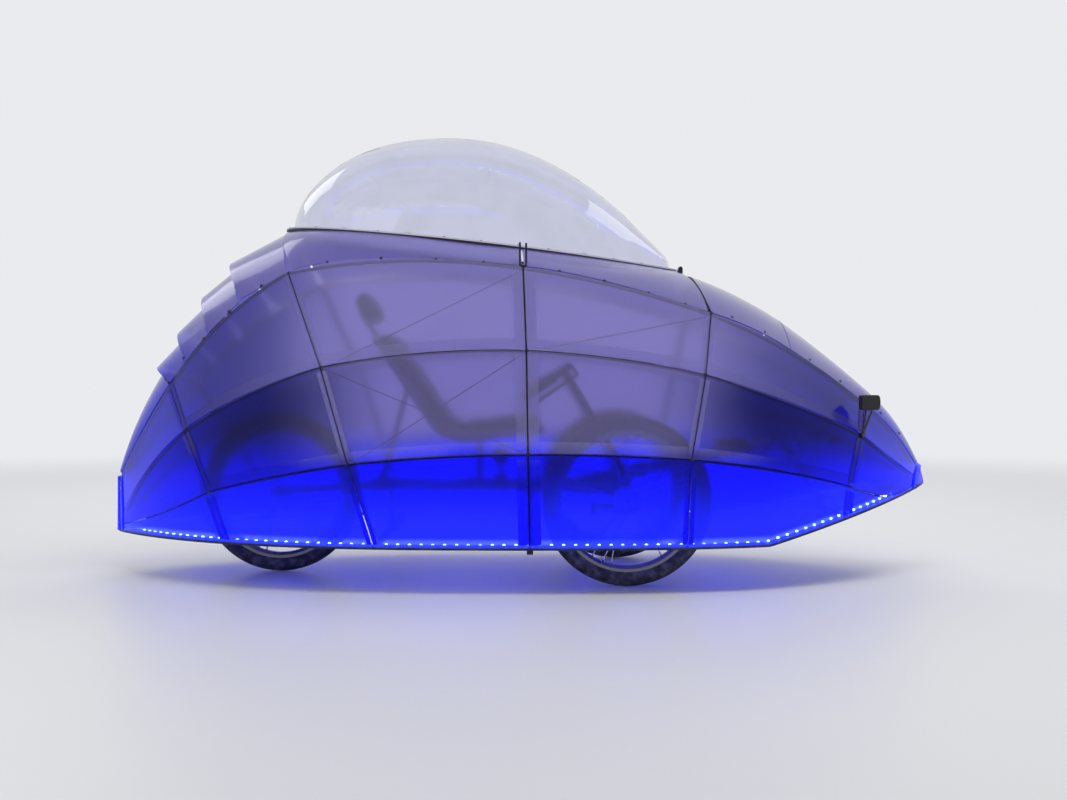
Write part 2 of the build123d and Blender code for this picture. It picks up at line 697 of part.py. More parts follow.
def surround(stations):
    """Curved sheet on the left between matching points of the top line and the sill outline."""
    half = Wire(outline(RIM_W - 14.0))
    sections = []
    for u, share, bulge in stations:
        p = line_point("top", u)
        q = BASE.from_local_coords(half @ share)
        ahead = line_point("top", u + 0.05) + BASE.from_local_coords(half @ min(1.0, share + 0.02))
        behind = line_point("top", u - 0.05) + BASE.from_local_coords(half @ max(0.0, share - 0.02))
        e = (q - p).normalized()
        n = e.cross(ahead - behind).normalized()
        p = p + e * 2.2 * SEAM
        m = (p + q) * 0.5 + n * bulge
        outer = Edge.make_three_point_arc(p, m, q)
        inner = Edge.make_three_point_arc(p - n * SKIN_T, m - n * SKIN_T, q - n * SKIN_T)
        sections.append(Face(Wire([outer, Edge.make_line(q, q - n * SKIN_T), inner,
                                   Edge.make_line(p - n * SKIN_T, p)])))
    hole = extrude(BASE.offset(-60) * outline_face(RIM_W + 0.5), amount=120)
    return (loft(sections) - hole).solids().sort_by(SortBy.VOLUME)[-1]


rear_half = surround(((3.02, 0.02, 34.0), (3.3, 0.22, 20.0), (3.65, 0.42, 10.0), (3.995, 0.60, 6.0)))
front_half = surround(((4.005, 0.605, 6.0), (4.35, 0.74, 8.0), (4.7, 0.87, 18.0), (4.98, 0.985, 28.0)))
save("canopy_surround", *both([rear_half, front_half]))

# Upright pins at rib c, outside the surround; the ribs with their bows and pins
pins, feet = [], []
for shift in (-PIN_APART / 2, PIN_APART / 2):
    low = line_point("top", station_shift("top", RIBS["c"], shift))
    high = BASE.from_local_coords(Wire(outline(RIM_W - 14.0)) @ 0.6)
    e = Vector(0, high.Y - low.Y, high.Z - low.Z).normalized()
    feet.append(low + Vector(0, e.Z, -e.Y) * PIN_SEAT)
    pins.append(rod(feet[-1], feet[-1] + Vector(0, 0, PIN_UP), PIN_R))
pin_pair = (pins[0] + pins[1] + rod(*feet, PIN_R)).solid()
save("ribs", *both(ribs + [pin_pair]), *bows)

# Welded trike frame
spine = rod((SPINE_REAR_X, 0, SPINE_Z), (BEND_X, 0, SPINE_Z), SPINE_R)
boom_dir = Vector(BB_X - BEND_X, 0, BB_Z - SPINE_Z).normalized()
bend = Vector(BEND_X, 0, SPINE_Z)
frame = spine + (Pos(*bend) * Sphere(SPINE_R)).solid() + rod(bend, bend + boom_dir * BOOM_SPLIT, SPINE_R)
collar_end = bend + boom_dir * BOOM_SPLIT
frame = frame + rod(collar_end - boom_dir * COLLAR_L, collar_end, COLLAR_R)
for side in (-1, 1):
    king = (FRONT_X, side * KINGPIN_Y)
    housing = Pos(*king, sum(HOUSING_Z) / 2) * Cylinder(HOUSING_R, HOUSING_Z[1] - HOUSING_Z[0])
    frame = frame + rod((ARM_ROOT_X, 0, SPINE_Z), (*king, SPINE_Z), ARM_R) + housing
    frame = frame + rod((SPINE_REAR_X - 8, side * STAY_Y, SPINE_Z), (REAR_X, side * STAY_Y, WHEEL_R), STAY_R)
    plate = Pos(REAR_X, side * STAY_Y, WHEEL_R) * Rot(90, 0, 0) * Cylinder(20, DROPOUT_T)
    frame = frame + plate
frame = frame + rod((SPINE_REAR_X - 8, -STAY_Y, SPINE_Z), (SPINE_REAR_X - 8, STAY_Y, SPINE_Z), 13.0)
for side in (-1, 1):
    frame = frame - Pos(FRONT_X, side * KINGPIN_Y, sum(HOUSING_Z) / 2) * Cylinder(KINGPIN_R + RUN, 120)
frame = frame - Pos(REAR_X, 0, WHEEL_R) * Rot(90, 0, 0) * Cylinder(AXLE_SEAT_R + GAP, 400)
save("trike_frame", frame.solid())

boom_end = bend + boom_dir * (BOOM_SPLIT + 0.2)
shell_bb = Pos(BB_X, 0, BB_Z) * Rot(90, 0, 0) * Cylinder(BB_R, 2 * BB_HALF)
boom = rod(boom_end, Vector(BB_X, 0, BB_Z), BOOM_R) + shell_bb
boom = boom - Pos(BB_X, 0, BB_Z) * Rot(90, 0, 0) * Cylinder(12.0 + RUN, 200)
save("front_boom", boom.solid())

# Shell cross tubes hung below the frame and boom
tubes = []
for name, x in CROSS_X.items():
    drop = max(0.0, x - KINK_X) * NOSE_SLOPE
    half = half_breadth("rail", x)
    z = RAIL_Z + drop + RAIL_T / 2
    tube = rod((x, -half, z), (x, half, z), CROSS_R)
    trim = rail_cuts[1 if drop else 0]
    tube = tube - trim - mirror(trim, about=Plane.XZ)
    if drop:
        post = rod((BB_X + 20, 0, BB_Z - 5), (x, 0, z), POST_R)
        post = post - Pos(BB_X, 0, BB_Z) * Rot(90, 0, 0) * Cylinder(BB_R + GAP, 4 * BB_HALF)
    else:
        post = rod((x, 0, SPINE_Z - SPINE_R - GAP - 0.001), (x, 0, z), POST_R)
    tubes.append((tube + post).solids().sort_by(SortBy.VOLUME)[-1])
save("shell_cross_tubes", *tubes)


# Wheels


def wheel(name, x, y, bore, drum):
    """Tyre, rim and hub with spokes of one wheel, axle along Y."""
    at = Pos(x, y, WHEEL_R) * Rot(90, 0, 0)
    tyre = Pos(WHEEL_R - TYRE_R, 0) * Circle(TYRE_R)
    tyre = tyre - Pos(RIM_IN_R, 0) * Rectangle(2 * (RIM_OUT_R + GAP - RIM_IN_R), 100)
    save(f"{name}_tyre", (at * revolve(Plane.XZ * tyre, Axis.Z)).solid())
    mid_r = (RIM_IN_R + RIM_OUT_R) / 2
    half_ring = [(RIM_OUT_R, RIM_HALF), (mid_r, RIM_HALF), (RIM_IN_R, RIM_WELL)]
    ring = make_face(Polyline(*half_ring, *[(r, -y) for r, y in half_ring[::-1]], close=True))
    save(f"{name}_rim", (at * revolve(Plane.XZ * ring, Axis.Z)).solid())
    body = Cylinder(HUB_BODY_R, 2 * FLANGE_Y)
    for side in (-1, 1):
        body = body + Pos(0, 0, side * (FLANGE_Y - 2)) * Cylinder(FLANGE_R, 4)
    for shape in drum:
        body = body + shape
    for i in range(SPOKES):
        side = 1 if i % 2 else -1
        cross = 22.0 if i % 4 < 2 else -22.0
        a0 = math.radians(360.0 * i / SPOKES)
        a1 = a0 + math.radians(cross)
        foot = (math.cos(a0) * (FLANGE_R - 3), math.sin(a0) * (FLANGE_R - 3), side * (FLANGE_Y - 2))
        tip = (math.cos(a1) * (RIM_IN_R - 0.8), math.sin(a1) * (RIM_IN_R - 0.8), 0.0)
        body = body + rod(foot, tip, SPOKE_R)
    body = body - Cylinder(bore, 300)
    save(f"{name}_hub", (at * body).solid())


cog = Pos(0, 0, -CHAIN_Y) * Cylinder(COG_R - CHAIN_T / 2 - 0.5, 4)
driver = Pos(0, 0, 40) * Cylinder(HUB_BODY_R, 30)
wheel("rear_wheel", REAR_X, 0.0, AXLE_R + RUN, (cog, driver))
for side, name in ((-1, "right"), (1, "left")):
    wheel(f"front_wheel_{name}", FRONT_X, side * TRACK_HALF, AXLE_R + RUN, (Cylinder(40.0, 40.0),))
axle_half = STAY_Y - STAY_R - GAP
axle = rod((REAR_X, -axle_half, WHEEL_R), (REAR_X, axle_half, WHEEL_R), AXLE_R)
for half, radius in ((STAY_Y + STAY_R + GAP, AXLE_SEAT_R), (AXLE_END_Y, AXLE_END_R)):
    axle = axle + rod((REAR_X, -half, WHEEL_R), (REAR_X, half, WHEEL_R), radius)
save("rear_axle", axle.solid())

# Steering knuckles, bars, grips and tie rod
for side, name in ((-1, "right"), (1, "left")):
    y = side * KINGPIN_Y
    low, high = HOUSING_Z[0] - GAP, HOUSING_Z[1] + GAP
    pin = Pos(FRONT_X, y, (low + high) / 2) * Cylinder(KINGPIN_R, high - low + 2 * PLATE_T)
    plates = [Pos(FRONT_X, y, high + PLATE_T / 2) * Cylinder(20.0, PLATE_T)]
    plates.append(Pos(FRONT_X, y, low - PLATE_T / 2) * Cylinder(20.0, PLATE_T))
    cheek = Pos(FRONT_X, y + side * 27.0, (low + high) / 2) * Box(26.0, 8.0, high - low + 2 * PLATE_T)
    stub = rod((FRONT_X, y + side * 25.0, WHEEL_R), (FRONT_X, side * (TRACK_HALF + 38.0), WHEEL_R), AXLE_R)
    inboard = side * (TRACK_HALF - FLANGE_Y - 1.0)
    shoulder = rod((FRONT_X, y + side * 30.0, WHEEL_R), (FRONT_X, inboard, WHEEL_R), 14.0)
    horn = rod((FRONT_X, y, low - PLATE_T / 2), (FRONT_X - ARM_BACK, y, low - PLATE_T / 2), 8.0)
    ball = Pos(FRONT_X - ARM_BACK, y, low - PLATE_T / 2) * Cylinder(11.0, 14.0)
    knuckle = pin + plates[0] + plates[1] + cheek + stub + shoulder
    for shape in (rod((FRONT_X, y, low - PLATE_T / 2), (FRONT_X, y + side * 24.0, low - PLATE_T / 2), 4.0),
                  rod((FRONT_X, y, high + PLATE_T / 2), (FRONT_X, y + side * 24.0, high + PLATE_T / 2), 4.0)):
        knuckle = knuckle + shape
    horn = horn - Pos(FRONT_X, y, (low + high) / 2) * Cylinder(HOUSING_R, high - low)
    knuckle = knuckle + horn + ball
    knuckle = knuckle - Pos(FRONT_X - ARM_BACK, y, low - PLATE_T / 2) * Cylinder(4.0 + RUN, 60)
    save(f"knuckle_{name}", knuckle.solids().sort_by(SortBy.VOLUME)[-1])
    gy = side * GRIP_Y
    foot = Vector(FRONT_X, y, high + PLATE_T + GAP)
    rear = Vector(GRIP_REAR[0], gy, GRIP_REAR[1])
    front = Vector(GRIP_FRONT[0], gy, GRIP_FRONT[1])
    mount = rear + (front - rear) * 0.84
    bar = rod(foot, foot + Vector(0, 0, 22), 14.0)
    knee = foot + Vector(0, 0, 14)
    bar = bar + rod(knee, mount, BAR_R) + (Pos(*mount) * Sphere(BAR_R)).solid() + rod(mount, rear, BAR_R)
    bar = bar + rod(mount, front, BAR_R) + (Pos(*knee) * Sphere(BAR_R)).solid()
    along = (front - rear).normalized()
    down = Vector(along.Z, 0, -along.X) * LEVER_DROP
    pivot = front - along * 2.0
    bar = bar + rod(pivot, pivot + down, LEVER_R)
    bar = bar + (Pos(*(pivot + down)) * Sphere(LEVER_R)).solid()
    bar = bar + rod(pivot + down, rear + down + along * 20.0, LEVER_R)
    save(f"handlebar_{name}", bar.solid())
    grip = Solid.make_cylinder(GRIP_R, 112.0, Plane(rear - along * 6.0, z_dir=along))
    grip = grip - Solid.make_cylinder(BAR_R + RUN, 300.0, Plane(rear, z_dir=along))
    save(f"grip_{name}", grip.solid())

low = HOUSING_Z[0] - GAP - PLATE_T / 2
tie_x = FRONT_X - ARM_BACK
tie_z = low - 9.0 - 8.0
tie = rod((tie_x, -KINGPIN_Y, tie_z), (tie_x, KINGPIN_Y, tie_z), TIE_R)
for side in (-1, 1):
    eye = Pos(tie_x, side * KINGPIN_Y, tie_z) * Cylinder(11.0, 16.0)
    stud = Pos(tie_x, side * KINGPIN_Y, low - 2.0) * Cylinder(4.0, 30.0)
    tie = tie + eye + stud
save("tie_rod", tie.solid())

# Chain, pulleys and crankset


def tangent_top(c0, r0, c1, r1, side):
    """Outer tangent points of two circles, upper for side 1, lower for side -1."""
    dx, dz = c1[0] - c0[0], c1[1] - c0[1]
    d = math.hypot(dx, dz)
    base = math.atan2(dz, dx)
    a = math.acos((r0 - r1) / d)
    ang = base + side * a
    return ((c0[0] + r0 * math.cos(ang), c0[1] + r0 * math.sin(ang)),
            (c1[0] + r1 * math.cos(ang), c1[1] + r1 * math.sin(ang)))


ring_c, cog_c = (BB_X, BB_Z), (REAR_X, WHEEL_R)
power, back = (IDLER_X, POWER_Z), (IDLER_X, RETURN_Z)


def chain_loop(off):
    """Closed chain line moved outwards from the loop's middle."""
    top_ring, top_mid = tangent_top(ring_c, RING_R + off, (power[0], power[1] + off), 0.001, -1)
    low_ring, low_mid = tangent_top(ring_c, RING_R + off, (back[0], back[1] - off), 0.001, 1)
    top_cog, top_end = tangent_top(cog_c, COG_R + off, (power[0], power[1] + off), 0.001, 1)
    low_cog, low_end = tangent_top(cog_c, COG_R + off, (back[0], back[1] - off), 0.001, -1)
    far_ring = (ring_c[0] + RING_R + off, ring_c[1])
    far_cog = (cog_c[0] - COG_R - off, cog_c[1])
    top, bottom = (power[0], power[1] + off), (back[0], back[1] - off)
    edges = [ThreePointArc(top_ring, far_ring, low_ring), Line(low_ring, bottom), Line(bottom, low_cog)]
    edges += [ThreePointArc(low_cog, far_cog, top_cog), Line(top_cog, top), Line(top, top_ring)]
    return make_face(edges)


loop = chain_loop(CHAIN_T / 2) - chain_loop(-CHAIN_T / 2)
chain = extrude(Plane((0, CHAIN_Y, 0), x_dir=(1, 0, 0), z_dir=(0, -1, 0)) * loop, amount=4.0, both=True)
save("chain", chain.solid())
pulleys = []
for z in (POWER_Z + CHAIN_T / 2 + PULLEY_R + 1.0, RETURN_Z - CHAIN_T / 2 - PULLEY_R - 1.0):
    disc = Pos(IDLER_X, CHAIN_Y, z) * Rot(90, 0, 0) * Cylinder(PULLEY_R, 9.0)
    arm = rod((IDLER_X, CHAIN_Y, z), (IDLER_X, -SPINE_R - GAP if z < SPINE_Z + SPINE_R else -2.0, z), 6.0)
    if z > SPINE_Z + SPINE_R:
        arm = arm + rod((IDLER_X, -8.0, SPINE_Z + SPINE_R + 1.0), (IDLER_X, -8.0, z + 6.0), 7.0)
    pulleys.append((disc + arm).solid())
save("chain_pulleys", *pulleys)

spindle = rod((BB_X, -CRANK_Y - 12, BB_Z), (BB_X, CRANK_Y + 12, BB_Z), 12.0)
ring_out = RING_R - CHAIN_T / 2 - 0.5
ring = Cylinder(ring_out, 4.0) - Cylinder(ring_out - RING_WIDTH, 4.0)
for i in range(SPIDER_ARMS):
    spoke = Pos(ring_out / 2, 0) * Box(ring_out - 2.0, SPIDER_W, 4.0)
    ring = ring + Rot(0, 0, 360.0 / SPIDER_ARMS * i) * spoke
crank = spindle + Pos(BB_X, CHAIN_Y, BB_Z) * Rot(90, 0, 0) * ring
for side in (-1, 1):
    y = side * (CRANK_Y + 7.0)
    arm = rod((BB_X, y, BB_Z), (BB_X + side * CRANK, y, BB_Z), 10.0)
    boss = Pos(BB_X + side * CRANK, y, BB_Z) * Rot(90, 0, 0) * Cylinder(13.0, 14.0)
    crank = crank + arm + boss
    crank = crank + Pos(BB_X, y, BB_Z) * Rot(90, 0, 0) * Cylinder(18.0, 14.0)
save("crankset", crank.solid())
pedals = []
for side in (-1, 1):
    y = side * PEDAL_Y
    block = Box(*PEDAL)
    for end in (-1, 1):
        block = block - Pos(end * PEDAL[0] / 4, 0) * Box(*PEDAL_SLOT, 2 * PEDAL[2])
    block = Pos(BB_X + side * CRANK, y, BB_Z) * block
    x = BB_X + side * CRANK
    pin = rod((x, side * (CRANK_Y + 17.0 + GAP), BB_Z), (x, y, BB_Z), 6.0)
    pedals.append((block + pin).solid())
save("pedals", *pedals)

# Seat


def side_path(d):
    """Seat line in the XZ plane, moved down and back by d."""
    pts = [Vector(x, z) for x, z in SEAT_PATH]
    (a, b, c) = pts
    n0 = Vector(-(b - a).Y, (b - a).X).normalized()
    n1 = Vector(-(c - b).Y, (c - b).X).normalized()
    mean = (n0 + n1).normalized()
    k = d / mean.dot(n0)
    return [a + n0 * d, b + mean * k, c + n1 * d]


def seat_wire(d):
    """Filleted seat line moved down and back."""
    return FilletPolyline(*[(p.X, p.Y) for p in side_path(d)], radius=SEAT_BEND + d)


top, bottom = seat_wire(-SEAT_T / 2), seat_wire(SEAT_T / 2)
edges = list(top.edges()) + list(bottom.edges()) + [Line(top @ 0, bottom @ 0), Line(top @ 1, bottom @ 1)]
pad = extrude(Plane.XZ * make_face(edges), amount=SEAT_HALF, both=True)
save("seat_pad", pad.solid())
TUBE_D = SEAT_T / 2 + GAP + SEAT_TUBE_R
seat_line = Plane.XZ * seat_wire(TUBE_D)
seat = None
for side in (-1, 1):
    path = Pos(0, side * SEAT_TUBE_Y, 0) * seat_line
    tube = sweep(Plane(path @ 0, z_dir=path % 0) * Circle(SEAT_TUBE_R), path=path)
    seat = tube if seat is None else seat + tube
bars = [seat_line @ 0.02, seat_line @ 0.3, seat_line @ 0.75, seat_line @ 0.985]
for p in bars:
    seat = seat + rod((p.X, -SEAT_TUBE_Y, p.Z), (p.X, SEAT_TUBE_Y, p.Z), 8.0)
front_bar, back_bar, head_bar = bars[1], bars[2], bars[3]
seat = seat + rod((front_bar.X, 0, SPINE_Z + SPINE_R + GAP), (front_bar.X, 0, front_bar.Z), 10.0)
stay_foot = Vector(SEAT_STAY_X, 0, SPINE_Z + SPINE_R + 6.0)
seat = seat + rod(stay_foot, Vector(back_bar.X, 0, back_bar.Z), 9.0)
seat = seat + Pos(SEAT_STAY_X, 0, SPINE_Z + SPINE_R + 5 + GAP) * Box(30, 30, 10)
back_dir = (head_bar - back_bar).normalized()
head = Vector(head_bar.X, 0, head_bar.Z) + Vector(back_dir.X, 0, back_dir.Z) * 120
seat = seat + rod(Vector(head_bar.X, 0, head_bar.Z), head, 8.0)
save("seat_frame", seat.solid())
lean = Plane(head, x_dir=(0, 1, 0), z_dir=Vector(back_dir.Z, 0, -back_dir.X))
rest = lean * Pos(0, -18, 8.0 + GAP + 22.0) * Box(190, 100, 44)
save("headrest", rest.solid())

# Head lamps on stalks at the front rib
lamps, stalks = [], []
node = line_point("mid", 7.0)
out = (row_normal("middle", 7.0) + row_normal("upper", 7.0)).normalized()
lamp_at = node + Vector(LAMP_AHEAD, LAMP_OUT, LAMP_UP)
foot = node + out * GAP
pad = Solid.make_cylinder(8.0, 6.0, Plane(foot, z_dir=out))
for dx in (-9.0, 9.0):
    head_end = lamp_at + Vector(dx, 0, -LAMP_BOX[2] / 2 - GAP - 1.0)
    pad = pad + rod(foot + out * 3.5, head_end, 3.0)
save("lamp_stalks", *both([pad.solid()]))
box = fillet(Box(*LAMP_BOX).edges(), LAMP_ROUND)
lens = Pos(LAMP_BOX[0] / 2 - LENS_DEPTH, 0, 0) * Rot(0, 90, 0) * Cylinder(
    LENS_R, LENS_DEPTH, align=(Align.CENTER, Align.CENTER, Align.MIN))
save("lamp_boxes", *both([(Pos(*lamp_at) * (box - lens)).solid()]))
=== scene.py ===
"""Looks of a velomobile: a tadpole trike in a lit, translucent, boat-shaped shell."""

from __future__ import annotations

import json
import logging
import math
from dataclasses import dataclass, field
from enum import Enum
from typing import Callable, Iterable, Protocol, Sequence

import bmesh
import bpy
from mathutils import Matrix, Vector
from mathutils.bvhtree import BVHTree

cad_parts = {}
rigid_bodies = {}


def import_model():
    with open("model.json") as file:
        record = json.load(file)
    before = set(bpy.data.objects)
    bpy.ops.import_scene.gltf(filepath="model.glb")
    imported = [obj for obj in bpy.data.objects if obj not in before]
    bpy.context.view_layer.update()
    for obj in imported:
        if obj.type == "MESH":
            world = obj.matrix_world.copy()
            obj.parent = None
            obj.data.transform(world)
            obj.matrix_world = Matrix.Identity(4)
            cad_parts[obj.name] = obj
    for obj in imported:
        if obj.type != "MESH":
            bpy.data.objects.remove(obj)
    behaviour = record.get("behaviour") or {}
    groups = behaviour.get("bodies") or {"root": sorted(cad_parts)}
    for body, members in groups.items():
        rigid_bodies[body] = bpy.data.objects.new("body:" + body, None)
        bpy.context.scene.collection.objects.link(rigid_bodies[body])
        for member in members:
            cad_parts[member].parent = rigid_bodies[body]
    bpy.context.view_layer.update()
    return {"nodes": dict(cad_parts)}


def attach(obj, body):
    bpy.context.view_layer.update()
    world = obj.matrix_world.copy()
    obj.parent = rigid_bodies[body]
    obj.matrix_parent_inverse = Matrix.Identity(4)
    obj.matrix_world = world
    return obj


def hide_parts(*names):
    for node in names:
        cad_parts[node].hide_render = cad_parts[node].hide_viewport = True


Colour = tuple[float, float, float]
Point = tuple[float, float, float]

LOG = logging.getLogger("velomobile")
AHEAD = Vector((1.0, 0.0, 0.0))
AXLE = Vector((0.0, 1.0, 0.0))
UP = Vector((0.0, 0.0, 1.0))
SIDES = (-1.0, 1.0)
SIDE_NAMES = {-1.0: "right", 1.0: "left"}

# CAD places that several sub-assemblies share, in metres
RAIL_LEVEL = 0.130
NOSE_LEVEL = 0.277
KINK_X = 0.715
NOSE_X = 1.267
TAIL_X = -1.267
NOSE_CLIMB = (NOSE_LEVEL - RAIL_LEVEL) / (NOSE_X - KINK_X)
WHEEL_R = 0.250
FRONT_X = 0.315
REAR_X = -0.752
TRACK_HALF = 0.360
LAMP_SEAT = Vector((0.042, 0.014, 0.096))

# Heights over the rail between which the painted glow by the rail and by its diodes changes
FOOT_GLOW_FADE = (0.02, 0.24)
ROW_GLOW_START = (0.004, 0.007)
ROW_GLOW_END = (0.018, 0.034)


class Body(Enum):
    """CAD bodies that pieces ride on."""

    CHASSIS = "chassis"
    CANOPY = "canopy"
    STEER_RIGHT = "steer_right"
    STEER_LEFT = "steer_left"
    FRONT_RIGHT = "wheel_front_right"
    FRONT_LEFT = "wheel_front_left"
    REAR = "wheel_rear"
    CRANK = "crank"


STEER_BODY = {-1.0: Body.STEER_RIGHT, 1.0: Body.STEER_LEFT}


class Slot(Enum):
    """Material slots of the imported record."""

    SKIN = "frosted_skin"
    CANOPY = "clear_canopy"
    RAIL = "black_rail"
    LIGHT = "blue_light"
    FRAME = "frame_paint"
    TYRE = "tyre_rubber"
    STEEL = "hub_steel"
    BAR = "black_bar"
    GRIP = "grip_rubber"
    PLASTIC = "black_plastic"
    FABRIC = "seat_fabric"


# Shader trees


class Graph:
    """Adds and links nodes in one shader tree."""

    def __init__(self, tree: bpy.types.NodeTree) -> None:
        """Keep the tree that nodes are added to.

        Args:
            tree: node tree of a material, a world or a group.
        """
        self.tree = tree

    def add(self, kind: str, **settings: object) -> bpy.types.Node:
        """Add a node.

        Args:
            kind: Blender's node type name.
            settings: node properties to set.

        Returns:
            The new node.
        """
        node = self.tree.nodes.new(kind)
        for key, value in settings.items():
            setattr(node, key, value)
        return node

    def feed(self, socket: bpy.types.NodeSocket, value: object) -> None:
        """Link a socket to an input, or set the input's own value.

        Args:
            socket: input socket.
            value: output socket, number or tuple.
        """
        if isinstance(value, bpy.types.NodeSocket):
            self.tree.links.new(value, socket)
        else:
            socket.default_value = value

    def fill(self, node: bpy.types.Node, values: dict[str, object]) -> None:
        """Feed several inputs of a node.

        Args:
            node: node to feed.
            values: output sockets, numbers or tuples by input name.
        """
        for name, value in values.items():
            self.feed(node.inputs[name], value)

    def maths(self, operation: str, *values: object, clamp: bool = False) -> bpy.types.NodeSocket:
        """Add a Math node.

        Args:
            operation: name of the operation.
            values: its inputs, in order.
            clamp: keep the result from 0 to 1.

        Returns:
            The result socket.
        """
        node = self.add("ShaderNodeMath", operation=operation, use_clamp=clamp)
        for socket, value in zip(node.inputs, values):
            self.feed(socket, value)
        return node.outputs[0]

    def step(self, value: object, low: object, high: object) -> bpy.types.NodeSocket:
        """Smooth step of a value from 0 at low to 1 at high.

        Args:
            value: socket to read.
            low: value that gives 0.
            high: value that gives 1.

        Returns:
            The result socket.
        """
        node = self.add("ShaderNodeMapRange", interpolation_type="SMOOTHSTEP")
        self.fill(node, {"Value": value, "From Min": low, "From Max": high})
        return node.outputs[0]

    def fade(self, value: object, low: object, high: object) -> bpy.types.NodeSocket:
        """Smooth step of a value from 1 at low to 0 at high."""
        return self.maths("SUBTRACT", 1.0, self.step(value, low, high))

    def mix(self, share: object, first: object, second: object) -> bpy.types.NodeSocket:
        """Mix two colours.

        Args:
            share: 0 gives the first colour, 1 the second.
            first: colour or socket.
            second: colour or socket.

        Returns:
            The colour socket.
        """
        node = self.add("ShaderNodeMix", data_type="RGBA")
        self.feed(node.inputs[0], share)
        for socket, value in ((node.inputs[6], first), (node.inputs[7], second)):
            self.feed(socket, (*value, 1.0) if isinstance(value, tuple) else value)
        return node.outputs[2]

    def place(self) -> tuple[bpy.types.NodeSocket, ...]:
        """Object coordinates, as the vector and its three parts."""
        vector = self.add("ShaderNodeTexCoord").outputs["Object"]
        parts = self.add("ShaderNodeSeparateXYZ")
        self.feed(parts.inputs[0], vector)
        return (vector, *parts.outputs)

    def noise(self, vector: object, scale: object, detail: float = 4.0) -> bpy.types.NodeSocket:
        """Noise from about 0 to 1.

        Args:
            vector: place to read it at.
            scale: waves per metre.
            detail: octaves.

        Returns:
            The noise value's socket.
        """
        node = self.add("ShaderNodeTexNoise")
        self.fill(node, {"Vector": vector, "Scale": scale, "Detail": detail})
        return node.outputs[0]

    def stretch(self, vector: object, scale: Point) -> bpy.types.NodeSocket:
        """Scale a place along its axes.

        Args:
            vector: place socket.
            scale: factors in x, y and z.

        Returns:
            The scaled place.
        """
        node = self.add("ShaderNodeMapping")
        self.fill(node, {"Vector": vector, "Scale": scale})
        return node.outputs[0]

    def bump(self, height: object, strength: float, distance: float) -> bpy.types.NodeSocket:
        """Normal from a height.

        Args:
            height: height socket.
            strength: 0 to 1.
            distance: metres that a height of 1 stands for.

        Returns:
            The normal's socket.
        """
        node = self.add("ShaderNodeBump")
        self.fill(node, {"Strength": strength, "Distance": distance, "Height": height})
        return node.outputs[0]


def make_group(name: str, inputs: dict[str, float], outputs: Sequence[str],
               wire: Callable[[Graph, dict, dict], None]) -> bpy.types.NodeTree:
    """Build a shader node group once.

    Args:
        name: name of the group.
        inputs: named number inputs with their usual values.
        outputs: names of its value outputs.
        wire: function that fills the group from its graph, inputs and outputs.

    Returns:
        The group's tree.
    """
    tree = bpy.data.node_groups.get(name)
    if tree:
        return tree
    tree = bpy.data.node_groups.new(name, "ShaderNodeTree")
    for key, value in inputs.items():
        socket = tree.interface.new_socket(key, in_out="INPUT", socket_type="NodeSocketFloat")
        socket.default_value = value
    for key in outputs:
        tree.interface.new_socket(key, in_out="OUTPUT", socket_type="NodeSocketFloat")
    graph = Graph(tree)
    entry = graph.add("NodeGroupInput")
    leave = graph.add("NodeGroupOutput")
    wire(graph, {k: entry.outputs[k] for k in inputs}, {k: leave.inputs[k] for k in outputs})
    return tree


